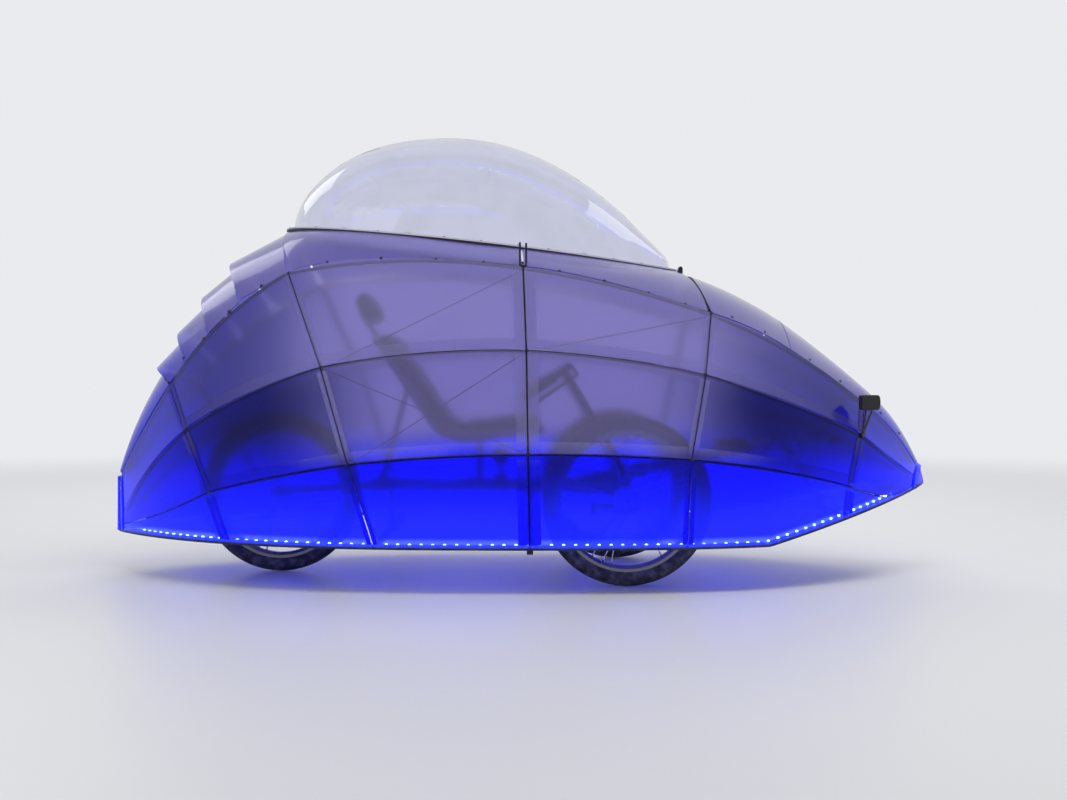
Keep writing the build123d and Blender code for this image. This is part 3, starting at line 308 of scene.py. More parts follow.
class Effects:
    """Shared surface effects as shader node groups."""

    @staticmethod
    def grain() -> bpy.types.NodeTree:
        """Fine moulded grain with broad handling marks."""

        def wire(graph: Graph, entry: dict, leave: dict) -> None:
            """Fill the group."""
            vector = graph.place()[0]
            fine = graph.noise(vector, entry["Scale"], 2.0)
            broad = graph.noise(vector, 9.0, 5.0)
            graph.feed(leave["Height"], fine)
            graph.feed(leave["Marks"], graph.step(broad, 0.42, 0.66))
            graph.feed(leave["Shade"], graph.maths("MULTIPLY_ADD", fine, 0.35, 0.82))

        return make_group("moulded_grain", {"Scale": 900.0}, ("Height", "Marks", "Shade"), wire)

    @staticmethod
    def dust() -> bpy.types.NodeTree:
        """Road dust that thins with height over the floor."""

        def wire(graph: Graph, entry: dict, leave: dict) -> None:
            """Fill the group."""
            vector, _, _, height = graph.place()
            patches = graph.noise(vector, 34.0, 6.0)
            fall = graph.fade(height, 0.0, entry["Reach"])
            graph.feed(leave["Mask"], graph.maths("MULTIPLY", fall, graph.step(patches, 0.4, 0.7)))

        return make_group("road_dust", {"Reach": 0.3}, ("Mask",), wire)

    @staticmethod
    def lamp_fall() -> bpy.types.NodeTree:
        """How a place on the shell takes the rail's light.

        Lit is painted light of the rail's lamps that falls with height, End is painted light and Shade
        painted shade that grow towards the ends, Foot marks a painted glow by the rail and Row a painted glow
        by its diodes.
        """

        def wire(graph: Graph, entry: dict, leave: dict) -> None:
            """Fill the group."""
            vector, along, _, height = graph.place()
            drift = graph.maths("MULTIPLY_ADD", graph.noise(vector, 2.6, 3.0), 0.12, -0.06)
            level = graph.maths("ADD", height, drift)
            reach = graph.maths("ADD", graph.maths("ABSOLUTE", along), drift)
            # Painted light of the rail's lamps (Lit, End) and painted shade towards the ends (Shade)
            graph.feed(leave["Lit"], graph.fade(level, entry["Low"], entry["High"]))
            graph.feed(leave["End"], graph.step(reach, entry["Ends from"], entry["Ends to"]))
            graph.feed(leave["Shade"], graph.step(reach, entry["Shade from"], entry["Shade to"]))
            # Painted glow by the rail (Foot) and by its diodes (Row), over the rail as it climbs to the nose
            rise = graph.maths("MULTIPLY_ADD", along, NOSE_CLIMB, -NOSE_CLIMB * KINK_X)
            climb = graph.maths("MAXIMUM", rise, 0.0)
            over = graph.maths("SUBTRACT", graph.maths("SUBTRACT", height, climb), RAIL_LEVEL)
            graph.feed(leave["Foot"], graph.fade(over, *FOOT_GLOW_FADE))
            row = graph.maths("MULTIPLY", graph.step(over, *ROW_GLOW_START), graph.fade(over, *ROW_GLOW_END))
            graph.feed(leave["Row"], row)

        inputs = {"Low": 0.3, "High": 0.6, "Ends from": 0.9, "Ends to": 1.2}
        inputs |= {"Shade from": 2.0, "Shade to": 3.0}
        return make_group("rail_light", inputs, ("Lit", "End", "Shade", "Foot", "Row"), wire)

    @staticmethod
    def inner_side() -> bpy.types.NodeTree:
        """Mask of the faces that look towards the shell's middle plane."""

        def wire(graph: Graph, entry: dict, leave: dict) -> None:
            """Fill the group."""
            node = graph.add("ShaderNodeTexCoord")
            parts = []
            for name in ("Object", "Normal"):
                split = graph.add("ShaderNodeSeparateXYZ")
                graph.feed(split.inputs[0], node.outputs[name])
                parts.append(split.outputs[1])
            side = graph.maths("MULTIPLY", graph.maths("SIGN", parts[0]), parts[1])
            graph.feed(leave["Mask"], graph.maths("LESS_THAN", side, entry["Limit"]))

        return make_group("inner_side", {"Limit": -0.02}, ("Mask",), wire)

    @staticmethod
    def ripple() -> bpy.types.NodeTree:
        """Slow waves of a thin sheet that is pulled over rods, and its frosting."""

        def wire(graph: Graph, entry: dict, leave: dict) -> None:
            """Fill the group."""
            vector = graph.place()[0]
            wave = graph.noise(graph.stretch(vector, (1.0, 1.0, 1.8)), entry["Waves"], 1.0)
            frost = graph.noise(vector, 1400.0, 2.0)
            graph.feed(leave["Height"], graph.maths("MULTIPLY_ADD", frost, 0.0008, wave))
            graph.feed(leave["Frost"], frost)

        return make_group("sheet_ripple", {"Waves": 3.2}, ("Height", "Frost"), wire)

    @staticmethod
    def weave() -> bpy.types.NodeTree:
        """Plain woven cloth from crossed waves."""

        def wire(graph: Graph, entry: dict, leave: dict) -> None:
            """Fill the group."""
            _, along, across, up = graph.place()
            run = graph.maths("ADD", along, up)
            warp = graph.maths("SINE", graph.maths("MULTIPLY", across, entry["Threads"]))
            weft = graph.maths("SINE", graph.maths("MULTIPLY", run, entry["Threads"]))
            cross = graph.maths("MULTIPLY", warp, weft)
            graph.feed(leave["Height"], graph.maths("MULTIPLY_ADD", cross, 0.5, 0.5))
            graph.feed(leave["Shade"], graph.maths("MULTIPLY_ADD", cross, 0.14, 0.86))

        return make_group("plain_weave", {"Threads": 2400.0}, ("Height", "Shade"), wire)


def use_group(graph: Graph, tree: bpy.types.NodeTree, **values: float) -> dict:
    """Place a group in a material.

    Args:
        graph: the material's graph.
        tree: the group.
        values: input values by name, with _ for a space.

    Returns:
        The group's output sockets by name.
    """
    node = graph.add("ShaderNodeGroup", node_tree=tree)
    for key, value in values.items():
        node.inputs[key.replace("_", " ")].default_value = value
    return {socket.name: socket for socket in node.outputs}


def new_material(name: str) -> tuple[bpy.types.Material, Graph, bpy.types.Node]:
    """Make an empty material with a Principled shader.

    Args:
        name: the material's name.

    Returns:
        The material, its graph and its Principled node.
    """
    material = bpy.data.materials.new(name)
    material.use_nodes = True
    material.node_tree.nodes.clear()
    graph = Graph(material.node_tree)
    shader = graph.add("ShaderNodeBsdfPrincipled")
    target = graph.add("ShaderNodeOutputMaterial")
    graph.feed(target.inputs["Surface"], shader.outputs[0])
    return material, graph, shader


@dataclass(frozen=True)
class FrostedSheet:
    """Thin frosted sheet with painted light: blue where the rail's lamps would light it, and painted shade
    darker towards the shell's ends.
    """

    name: str
    plain: Colour
    # shade is a painted shade colour; lit is a painted light colour of the rail's lamps, low down and towards
    # the ends
    shade: Colour = (0.035, 0.03, 0.30)
    lit: Colour = (0.012, 0.014, 0.88)
    low: float = 0.30
    high: float = 0.62
    shade_from: float = 2.0
    shade_to: float = 3.0
    ends_from: float = 0.92
    ends_to: float = 1.18
    rough: float = 0.19
    see_through: float = 0.82
    # glow lets the sheet emit painted light, foot spreads it by the rail, and row colours a painted glow band
    # by the diodes
    glow: float = 0.0
    foot: float = 0.0
    row: Colour | None = None
    coat: float = 0.0
    coat_rough: float = 0.05
    ior: float = 1.24
    wave: float = 0.010
    glow_colour: Colour = (0.012, 0.03, 1.0)

    def material(self) -> bpy.types.Material:
        """Build the sheet's material."""
        material, graph, shader = new_material(self.name)
        light = use_group(graph, Effects.lamp_fall(), Low=self.low, High=self.high,
                          Ends_from=self.ends_from, Ends_to=self.ends_to,
                          Shade_from=self.shade_from, Shade_to=self.shade_to)
        sheet = use_group(graph, Effects.ripple())
        # Painted shade towards the ends, under painted light of the rail's lamps
        base = graph.mix(light["Shade"], self.plain, self.shade)
        lit = graph.maths("MAXIMUM", light["Lit"], light["End"])
        colour = graph.mix(lit, base, self.lit)
        rough = graph.maths("MULTIPLY_ADD", sheet["Frost"], 0.08, self.rough - 0.04)
        # Painted glow band by the diodes, where the sheet is also less rough
        if self.row:
            colour = graph.mix(light["Row"], colour, self.row)
            clearer = graph.maths("MULTIPLY_ADD", light["Row"], -0.6, 1.0)
            rough = graph.maths("MULTIPLY", rough, clearer)
        # Painted glow: inner faces, and in part faces by the rail, emit blue where the painted rail light
        # falls
        if self.glow:
            inner = use_group(graph, Effects.inner_side())
            back = graph.add("ShaderNodeNewGeometry").outputs["Backfacing"]
            far = graph.maths("SUBTRACT", inner["Mask"], back, clamp=True)
            spread = graph.maths("MULTIPLY_ADD", light["Foot"], self.foot, far, clamp=True)
            mask = graph.maths("MULTIPLY", spread, lit)
            shine = graph.mix(mask, (0.0, 0.0, 0.0), self.glow_colour)
            graph.fill(shader, {"Emission Color": shine, "Emission Strength": self.glow})
        graph.fill(shader, {
            "Base Color": colour,
            "Roughness": rough,
            "Transmission Weight": self.see_through,
            "IOR": self.ior,
            "Normal": graph.bump(sheet["Height"], 0.4, self.wave),
            "Coat Weight": self.coat,
            "Coat Roughness": self.coat_rough,
        })
        return material


@dataclass(frozen=True)
class ClearAcrylic:
    """Blown clear acrylic with a faint wave."""

    name: str
    tint: Colour = (0.84, 0.85, 0.93)
    ior: float = 1.45
    wave: float = 0.010

    def material(self) -> bpy.types.Material:
        """Build the acrylic's material."""
        material, graph, shader = new_material(self.name)
        sheet = use_group(graph, Effects.ripple(), Waves=2.0)
        marks = use_group(graph, Effects.grain(), Scale=300.0)
        wiped = tuple(0.97 * c for c in self.tint)
        graph.fill(shader, {
            "Transmission Weight": 1.0,
            "IOR": self.ior,
            "Base Color": graph.mix(marks["Marks"], self.tint, wiped),
            "Roughness": graph.maths("MULTIPLY", marks["Marks"], 0.03),
            "Normal": graph.bump(sheet["Height"], 0.15, self.wave),
        })
        return material


@dataclass(frozen=True)
class Satin:
    """Painted, plated or moulded surface with grain, handling marks and dust."""

    name: str
    colour: Colour
    rough: float = 0.42
    metallic: float = 0.0
    grain: float = 900.0
    depth: float = 0.00008
    dust: float = 0.35
    dust_reach: float = 0.32
    dust_colour: Colour = (0.34, 0.31, 0.28)
    coat: float = 0.0
    specular: float = 0.5

    def material(self) -> bpy.types.Material:
        """Build the surface's material."""
        material, graph, shader = new_material(self.name)
        skin = use_group(graph, Effects.grain(), Scale=self.grain)
        dirt = use_group(graph, Effects.dust(), Reach=self.dust_reach)
        pale = tuple(min(1.0, 0.06 + 1.25 * c) for c in self.colour)
        base = graph.mix(graph.maths("MULTIPLY", skin["Marks"], 0.3), self.colour, pale)
        cover = graph.maths("MULTIPLY", dirt["Mask"], self.dust)
        worn = graph.maths("MULTIPLY_ADD", skin["Marks"], 0.14, self.rough - 0.07)
        graph.fill(shader, {
            "Base Color": graph.mix(cover, base, self.dust_colour),
            "Roughness": graph.maths("MULTIPLY_ADD", cover, 0.5, worn, clamp=True),
            "Normal": graph.bump(skin["Height"], 0.6, self.depth),
            "Metallic": self.metallic,
            "Specular IOR Level": self.specular,
            "Coat Weight": self.coat,
        })
        return material


@dataclass(frozen=True)
class Cloth:
    """Woven cover cloth with sheen."""

    name: str
    colour: Colour
    threads: float = 2400.0
    thread_depth: float = 0.0006
    sheen: float = 0.35

    def material(self) -> bpy.types.Material:
        """Build the cloth's material."""
        material, graph, shader = new_material(self.name)
        cloth = use_group(graph, Effects.weave(), Threads=self.threads)
        skin = use_group(graph, Effects.grain(), Scale=420.0)
        pale = tuple(0.05 + 1.4 * c for c in self.colour)
        worn = graph.maths("MULTIPLY", cloth["Shade"], skin["Marks"])
        graph.fill(shader, {
            "Base Color": graph.mix(worn, self.colour, pale),
            "Roughness": graph.maths("MULTIPLY_ADD", skin["Shade"], 0.2, 0.7),
            "Normal": graph.bump(cloth["Height"], 0.7, self.thread_depth),
            "Sheen Weight": self.sheen,
        })
        return material


@dataclass(frozen=True)
class LampGlow:
    """Lit diode or tape that burns unevenly along its run."""

    name: str
    colour: Colour
    strength: float
    worn: Colour = (0.6, 0.65, 1.0)
    rough: float = 0.25

    def material(self) -> bpy.types.Material:
        """Build the lamp's material."""
        material, graph, shader = new_material(self.name)
        skin = use_group(graph, Effects.grain(), Scale=700.0)
        faint = tuple(0.4 * c for c in self.colour)
        graph.fill(shader, {
            "Emission Color": graph.mix(skin["Marks"], self.colour, faint),
            "Emission Strength": self.strength,
            "Base Color": graph.mix(skin["Marks"], self.colour, self.worn),
            "Roughness": self.rough,
        })
        return material


@dataclass
class Finishes:
    """Every finish on the machine, each made once."""

    # The lower sheet's own blue is painted light of the rail's lamps; row is its painted glow band by the
    # diodes
    lower: FrostedSheet = FrostedSheet(
        "lower_sheet", (0.03, 0.03, 0.80), low=0.60, high=0.9, glow=1.1, foot=0.42, row=(0.17, 0.25, 1.0))
    # The shade colours of these sheets are painted shade towards the shell's ends
    middle: FrostedSheet = FrostedSheet(
        "middle_sheet", (0.48, 0.44, 0.82), (0.022, 0.020, 0.34), low=0.30, high=0.47, glow=0.5, foot=0.3,
        shade_from=0.40, shade_to=0.74)
    upper: FrostedSheet = FrostedSheet(
        "upper_sheet", (0.52, 0.48, 0.84), (0.10, 0.09, 0.50), low=0.30, high=0.60, glow=0.4, foot=0.3,
        shade_from=0.45, shade_to=0.95, coat=0.35)
    strap: FrostedSheet = FrostedSheet(
        "lap_strap", (0.70, 0.67, 0.95), (0.20, 0.18, 0.66), low=0.36, high=0.44, shade_from=0.45,
        shade_to=1.1, rough=0.12, see_through=0.88)
    deck: FrostedSheet = FrostedSheet(
        "deck_sheet", (0.33, 0.30, 0.68), (0.24, 0.21, 0.64), low=0.25, high=0.50, shade_from=0.7,
        shade_to=1.1, rough=0.17, see_through=0.74, coat=0.3)
    # The tips' own blue is painted light of the rail's lamps
    tip: FrostedSheet = FrostedSheet(
        "tip_sheet", (0.05, 0.06, 0.82), low=0.34, high=0.62, glow=0.8, foot=0.4)
    acrylic: ClearAcrylic = ClearAcrylic("canopy_acrylic")
    rim: FrostedSheet = FrostedSheet(
        "canopy_edge", (0.82, 0.82, 0.94), low=0.1, high=0.3, ends_from=2.0, ends_to=3.0, rough=0.18,
        see_through=0.5, coat=0.8)
    rod: Satin = Satin("rod_black", (0.006, 0.006, 0.028), rough=0.36, dust=0.05, specular=0.25)
    rail: Satin = Satin("rail_black", (0.010, 0.010, 0.014), rough=0.42, dust=0.12, specular=0.25)
    frame: Satin = Satin("frame_grey", (0.10, 0.095, 0.12), rough=0.34, coat=0.3)
    tyre: Satin = Satin(
        "tyre_black", (0.018, 0.018, 0.020), rough=0.72, grain=600.0, depth=0.0004, dust=0.4, dust_reach=0.4)
    alloy: Satin = Satin("rim_dark_alloy", (0.16, 0.16, 0.18), rough=0.32, metallic=1.0, dust=0.2)
    steel: Satin = Satin("hub_bright_steel", (0.60, 0.60, 0.62), rough=0.28, metallic=1.0, dust=0.2)
    screw: Satin = Satin("screw_black_steel", (0.05, 0.05, 0.06), rough=0.30, metallic=1.0, dust=0.05)
    mirror: Satin = Satin("lamp_bowl", (0.85, 0.86, 0.88), rough=0.10, metallic=1.0, dust=0.0)
    bar: Satin = Satin("bar_black", (0.016, 0.016, 0.018), rough=0.38, dust=0.15)
    grip: Satin = Satin("grip_black", (0.014, 0.014, 0.015), rough=0.8, grain=350.0, depth=0.0005, dust=0.0)
    plastic: Satin = Satin(
        "moulded_black", (0.010, 0.010, 0.012), rough=0.46, grain=1200.0, depth=0.0002, dust=0.1,
        specular=0.25)
    cloth: Cloth = Cloth("seat_cloth", (0.022, 0.022, 0.026))
    diode: LampGlow = LampGlow("diode_blue", (0.42, 0.56, 1.0), 22.0)
    tape: LampGlow = LampGlow("tape_blue", (0.01, 0.03, 1.0), 1.2)
    made: dict[str, bpy.types.Material] = field(default_factory=dict)

    def get(self, key: str) -> bpy.types.Material:
        """Material of one finish, built when first asked for."""
        if key not in self.made:
            self.made[key] = getattr(self, key).material()
        return self.made[key]


FINISHES = Finishes()
WHEELS = ("front_wheel_left", "front_wheel_right", "rear_wheel")
NODE_FINISH: dict[str, tuple[str, ...]] = {
    "lower": ("lower_skins",),
    "middle": ("middle_skins",),
    "upper": ("upper_skins",),
    "strap": ("seam_straps",),
    "deck": ("deck_panels", "canopy_surround", "rear_louvres"),
    "tip": ("nose_cone", "tail_cap"),
    "acrylic": ("canopy_bubble",),
    "rim": ("canopy_rim",),
    "rod": ("ribs", "stringers", "lattice_hubs", "brace_wires"),
    "rail": ("bottom_rail", "tail_block", "canopy_sill", "canopy_hinge", "shell_cross_tubes"),
    "tape": ("light_strip",),
    "frame": ("trike_frame", "front_boom", "seat_frame"),
    "tyre": tuple(f"{wheel}_tyre" for wheel in WHEELS),
    "alloy": tuple(f"{wheel}_rim" for wheel in WHEELS),
    "steel": (*(f"{wheel}_hub" for wheel in WHEELS), "rear_axle", "crankset", "chain"),
    "bar": ("knuckle_left", "knuckle_right", "handlebar_left", "handlebar_right", "tie_rod", "lamp_stalks"),
    "grip": ("grip_left", "grip_right"),
    "plastic": ("lamp_boxes", "pedals", "chain_pulleys"),
    "cloth": ("seat_pad", "headrest"),
}


# Meshes


class Assembly(Protocol):
    """Sub-assembly that main builds."""

    def build(self) -> None:
        """Make its pieces."""


def piece(name: str, mesh: bmesh.types.BMesh, body: Body, finish: str,
          smooth: bool = True) -> bpy.types.Object:
    """Turn a bmesh into a piece that rides on a body.

    Args:
        name: the piece's name.
        mesh: its shape in the shared frame; it is freed here.
        body: body that it rides on.
        finish: key of its finish.
        smooth: shade its faces smooth.

    Returns:
        The new object.
    """
    bmesh.ops.recalc_face_normals(mesh, faces=mesh.faces)
    for face in mesh.faces:
        face.smooth = smooth
    data = bpy.data.meshes.new(name)
    mesh.to_mesh(data)
    mesh.free()
    made = bpy.data.objects.new(name, data)
    bpy.context.scene.collection.objects.link(made)
    data.materials.append(FINISHES.get(finish))
    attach(made, body.value)
    LOG.info("%s: %d faces on %s", name, len(data.polygons), body.value)
    return made


def turned(axis: Vector, place: Vector) -> Matrix:
    """Matrix that turns +Z to an axis and then moves to a place."""
    return Matrix.Translation(place) @ axis.to_track_quat("Z", "Y").to_matrix().to_4x4()


def both_sides(mesh: bmesh.types.BMesh) -> None:
    """Mirror a mesh of the left side to the right."""
    whole = mesh.verts[:] + mesh.edges[:] + mesh.faces[:]
    bmesh.ops.mirror(mesh, geom=whole, axis="Y", merge_dist=-1.0)


def peg(mesh: bmesh.types.BMesh, matrix: Matrix, sides: int, radii: tuple[float, float],
        depth: float) -> None:
    """Add a closed cylinder or cone along its own Z.

    Args:
        mesh: bmesh that takes the peg.
        matrix: place and turn of its middle.
        sides: flats round it.
        radii: radius at its foot and at its top.
        depth: its length.
    """
    bmesh.ops.create_cone(mesh, cap_ends=True, segments=sides, radius1=radii[0], radius2=radii[1],
                          depth=depth, matrix=matrix)


def lathe(mesh: bmesh.types.BMesh, outline: Iterable[tuple[float, float]], centre: Vector, axis: Vector,
          steps: int, closed: bool = True) -> None:
    """Spin an outline about an axis.

    Args:
        mesh: bmesh that takes the turned shape.
        outline: points as (radius, distance along the axis).
        centre: point on the axis that distances are measured from.
        axis: direction of the axis, of length 1.
        steps: spin steps of a full turn.
        closed: join the outline's last point to its first.
    """
    side = axis.orthogonal().normalized()
    corners = [mesh.verts.new(centre + side * r + axis * d) for r, d in outline]
    first = 0 if closed else 1
    edges = [mesh.edges.new((corners[i - 1], corners[i])) for i in range(first, len(corners))]
    bmesh.ops.spin(mesh, geom=corners + edges, cent=centre, axis=axis, angle=math.tau, steps=steps,
                   use_merge=True)
    bmesh.ops.remove_doubles(mesh, verts=mesh.verts, dist=1e-6)


def button_head(mesh: bmesh.types.BMesh, place: Vector, axis: Vector, radius: float, height: float) -> None:
    """Add a domed screw head with a socket.

    Args:
        mesh: bmesh that takes the head.
        place: middle of its seat.
        axis: direction that it faces.
        radius: radius at its seat.
        height: height over its seat.
    """
    start, sides = len(mesh.verts), 12
    made = bmesh.ops.create_cone(mesh, cap_ends=True, segments=sides, radius1=radius, radius2=0.68 * radius,
                                 depth=height)["verts"]
    caps = {face for vert in made for face in vert.link_faces if len(face.verts) == sides}
    top = max(caps, key=lambda face: face.calc_center_median().z)
    bmesh.ops.inset_region(mesh, faces=[top], thickness=0.28 * radius)
    bmesh.ops.translate(mesh, verts=top.verts[:], vec=UP * (-0.5 * height))
    mesh.verts.ensure_lookup_table()
    whole = mesh.verts[start:]
    bmesh.ops.translate(mesh, verts=whole, vec=UP * (0.5 * height))
    bmesh.ops.transform(mesh, matrix=turned(axis, place), verts=whole)


class Surface:
    """Finds places on a CAD node, to seat small pieces on it."""

    def __init__(self, node: str) -> None:
        """Read the node's mesh.

        Args:
            node: name of the CAD node.
        """
        data = bpy.data.objects[node].data
        self.tree = BVHTree.FromPolygons([v.co for v in data.vertices], [p.vertices for p in data.polygons])

    def hit(self, start: Vector, direction: Vector) -> tuple[Vector, Vector]:
        """First place that a ray meets, and the outward normal there.

        Args:
            start: start of the ray.
            direction: where it goes.

        Returns:
            The place and the normal, turned against the ray.
        """
        place, normal, _, _ = self.tree.ray_cast(start, direction)
        return place, -normal if normal.dot(direction) > 0.0 else normal

    def nearest(self, point: Vector) -> tuple[Vector, Vector]:
        """Nearest place to a point outside the node, and the direction from it to the point."""
        place = self.tree.find_nearest(point)[0]
        return place, (point - place).normalized()


@dataclass
class ShellLines:
    """Lattice lines of the shell: each line's beam, and its x and z at the tail, the ribs and the nose."""

    beam_x: float = 0.1
    bow: float = 2.6
    stern: float = 3.0
    end: float = 0.85
    beam: dict[str, float] = field(default_factory=lambda: {
        "rail": 0.585, "low": 0.605, "mid": 0.557, "top": 0.430,
    })
    run: dict[str, tuple[float, ...]] = field(default_factory=lambda: {
        "rail": (-1.245, -0.845, -0.405, 0.032, 0.474, 0.960, 1.222),
        "low": (-1.243, -0.902, -0.478, 0.027, 0.483, 0.971, 1.224),
        "mid": (-1.243, -0.990, -0.562, 0.022, 0.528, 1.015, 1.230),
        "top": (-1.250, -1.058, -0.674, 0.012, 0.556, 1.037, 1.242),
    })
    rise: dict[str, tuple[float, ...]] = field(default_factory=lambda: {
        "rail": (0.130, 0.130, 0.130, 0.130, 0.130, 0.195, 0.265),
        "low": (0.152, 0.277, 0.367, 0.397, 0.381, 0.290, 0.282),
        "mid": (0.178, 0.455, 0.640, 0.688, 0.619, 0.440, 0.300),
        "top": (0.300, 0.590, 0.918, 0.929, 0.798, 0.533, 0.322),
    })

    def half_breadth(self, line: str, x: float) -> float:
        """Half breadth of a line.

        Args:
            line: name of the line.
            x: place along the shell.

        Returns:
            Distance from the middle plane.
        """
        if x >= self.beam_x:
            share = ((x - self.beam_x) / (NOSE_X - self.beam_x)) ** self.bow
        else:
            share = ((self.beam_x - x) / (self.beam_x - TAIL_X)) ** self.stern
        return self.beam[line] * (1.0 - min(1.0, share)) ** self.end

    def knot(self, line: str, rib: int) -> Vector:
        """Point of a line at a rib on the left side."""
        x = self.run[line][rib]
        return Vector((x, self.half_breadth(line, x), self.rise[line][rib]))

    def knot_normal(self, line: str, rib: int) -> Vector:
        """Outward normal at a line's crossing with a rib.

        Args:
            line: name of the line.
            rib: number of the rib, counted from the tail.

        Returns:
            The normal on the left side.
        """
        lines = list(self.run)
        row = lines.index(line)
        up = self.knot(lines[min(row + 1, len(lines) - 1)], rib) - self.knot(lines[row - 1], rib)
        along = self.knot(line, rib + 1) - self.knot(line, rib - 1)
        return up.cross(along).normalized()

    def line_height(self, line: str, x: float) -> float:
        """Height of a line, straight between the ribs.

        Args:
            line: name of the line.
            x: place along the shell.

        Returns:
            Height over the floor.
        """
        run, rise = self.run[line], self.rise[line]
        i = next(i for i in range(1, len(run)) if x <= run[i])
        return rise[i - 1] + (rise[i] - rise[i - 1]) * (x - run[i - 1]) / (run[i] - run[i - 1])

    def rail_point(self, x: float, depth: float, up: float) -> Vector:
        """Point by the rail.

        Args:
            x: place along the rail line.
            depth: distance inside the rail line.
            up: height over the rail's lower face.

        Returns:
            The point on the left side.
        """
        slope = (self.half_breadth("rail", x + 0.001) - self.half_breadth("rail", x - 0.001)) / 0.002
        size = math.hypot(1.0, slope)
        z = RAIL_LEVEL + max(0.0, x - KINK_X) * NOSE_CLIMB + up
        return Vector((x + slope / size * depth, self.half_breadth("rail", x) - depth / size, z))

    def rail_walk(self, start: float, stop: float, pitch: float, depth: float, up: float) -> list[Vector]:
        """Points at an even pitch along the rail.

        Args:
            start: first x.
            stop: last x.
            pitch: distance between points.
            depth: distance inside the rail line.
            up: height over the rail's lower face.

        Returns:
            The points on the left side.
        """
        cuts = 2000
        fine = [self.rail_point(start + (stop - start) * i / cuts, depth, up) for i in range(cuts + 1)]
        points, walked = [fine[0]], 0.0
        for before, after in zip(fine, fine[1:]):
            walked += (after - before).length
            if walked >= pitch:
                walked -= pitch
                points.append(after)
        return points


@dataclass
class LightTape:
    """Row of lit diodes on the bottom rail."""

    lines: ShellLines
    pitch: float = 0.0333
    depth: float = 0.0255
    seat: float = 0.0111
    radius: float = 0.0048
    squash: float = 0.8
    start: float = -1.17
    stop: float = 1.17

    def build(self) -> None:
        """Make the diodes of both sides."""
        mesh = bmesh.new()
        flat = Matrix.Diagonal((1.0, 1.0, self.squash, 1.0))
        for spot in self.lines.rail_walk(self.start, self.stop, self.pitch, self.depth, self.seat):
            for side in SIDES:
                place = Matrix.Translation((spot.x, side * spot.y, spot.z)) @ flat
                bmesh.ops.create_uvsphere(mesh, u_segments=10, v_segments=6, radius=self.radius, matrix=place)
        piece("light_diodes", mesh, Body.CHASSIS, "diode")


@dataclass
class RailEdge:
    """Black angle strip along the foot of the shell, with its section as (outwards, upwards)."""

    lines: ShellLines
    start: float = -1.252
    stop: float = 1.258
    cuts: int = 160
    section: tuple[tuple[float, float], ...] = (
        (0.0018, -0.0014), (0.0018, 0.0036), (0.0011, 0.0046), (0.0002, 0.0046), (0.0002, -0.0002),
        (-0.0110, -0.0002), (-0.0110, -0.0014),
    )

    def build(self) -> None:
        """Draw out the section straight, divide it and bend it round both sides."""
        mesh = bmesh.new()
        face = mesh.faces.new([mesh.verts.new((self.start, out, up)) for out, up in self.section])
        drawn = bmesh.ops.extrude_face_region(mesh, geom=[face])["geom"]
        ends = [vert for vert in drawn if isinstance(vert, bmesh.types.BMVert)]
        bmesh.ops.translate(mesh, verts=ends, vec=AHEAD * (self.stop - self.start))
        runs = [edge for edge in mesh.edges if edge.calc_length() > 1.0]
        bmesh.ops.subdivide_edges(mesh, edges=runs, cuts=self.cuts)
        for vert in mesh.verts:
            vert.co = self.lines.rail_point(vert.co.x, -vert.co.y, vert.co.z)
        both_sides(mesh)
        piece("rail_edge_strip", mesh, Body.CHASSIS, "rail", smooth=False)


@dataclass
class TipSeal:
    """Strip from the shell's end onto a tip.

    Its rows go up, each with a place on the sheet, the sheet's corner and the tip's corner.
    """

    name: str
    inside: Point
    rows: tuple[tuple[Point, Point, Point], ...]
    lap: float = 0.005
    proud: float = 0.0009
    thick: float = 0.0009

    def sheet(self, mesh: bmesh.types.BMesh, side: float) -> None:
        """Lay one side's strip from a grid.

        Args:
            mesh: bmesh that takes the strip.
            side: 1 for the left, -1 for the right.
        """
        last = len(self.rows) - 1
        grid = bmesh.ops.create_grid(mesh, x_segments=3, y_segments=last, size=1.0)["verts"]
        for vert in grid:
            row = self.rows[round((vert.co.y + 1.0) / 2.0 * last)]
            start, corner, tip = (Vector((x, side * y, z)) for x, y, z in row)
            end = tip + (tip - corner).normalized() * self.lap
            vert.co = (start, corner, tip, end)[round((vert.co.x + 1.0) * 1.5)]
        faces = list({face for vert in grid for face in vert.link_faces})
        bmesh.ops.recalc_face_normals(mesh, faces=faces)
        if sum(face.normal.dot(face.calc_center_median() - Vector(self.inside)) for face in faces) < 0.0:
            bmesh.ops.reverse_faces(mesh, faces=faces)
        mesh.normal_update()
        for vert in grid:
            vert.co += vert.normal * self.proud
        bmesh.ops.solidify(mesh, geom=faces, thickness=self.thick)

    def build(self) -> None:
        """Make the strip of both sides."""
        mesh = bmesh.new()
        for side in SIDES:
            self.sheet(mesh, side)
        piece(self.name, mesh, Body.CHASSIS, "tip")


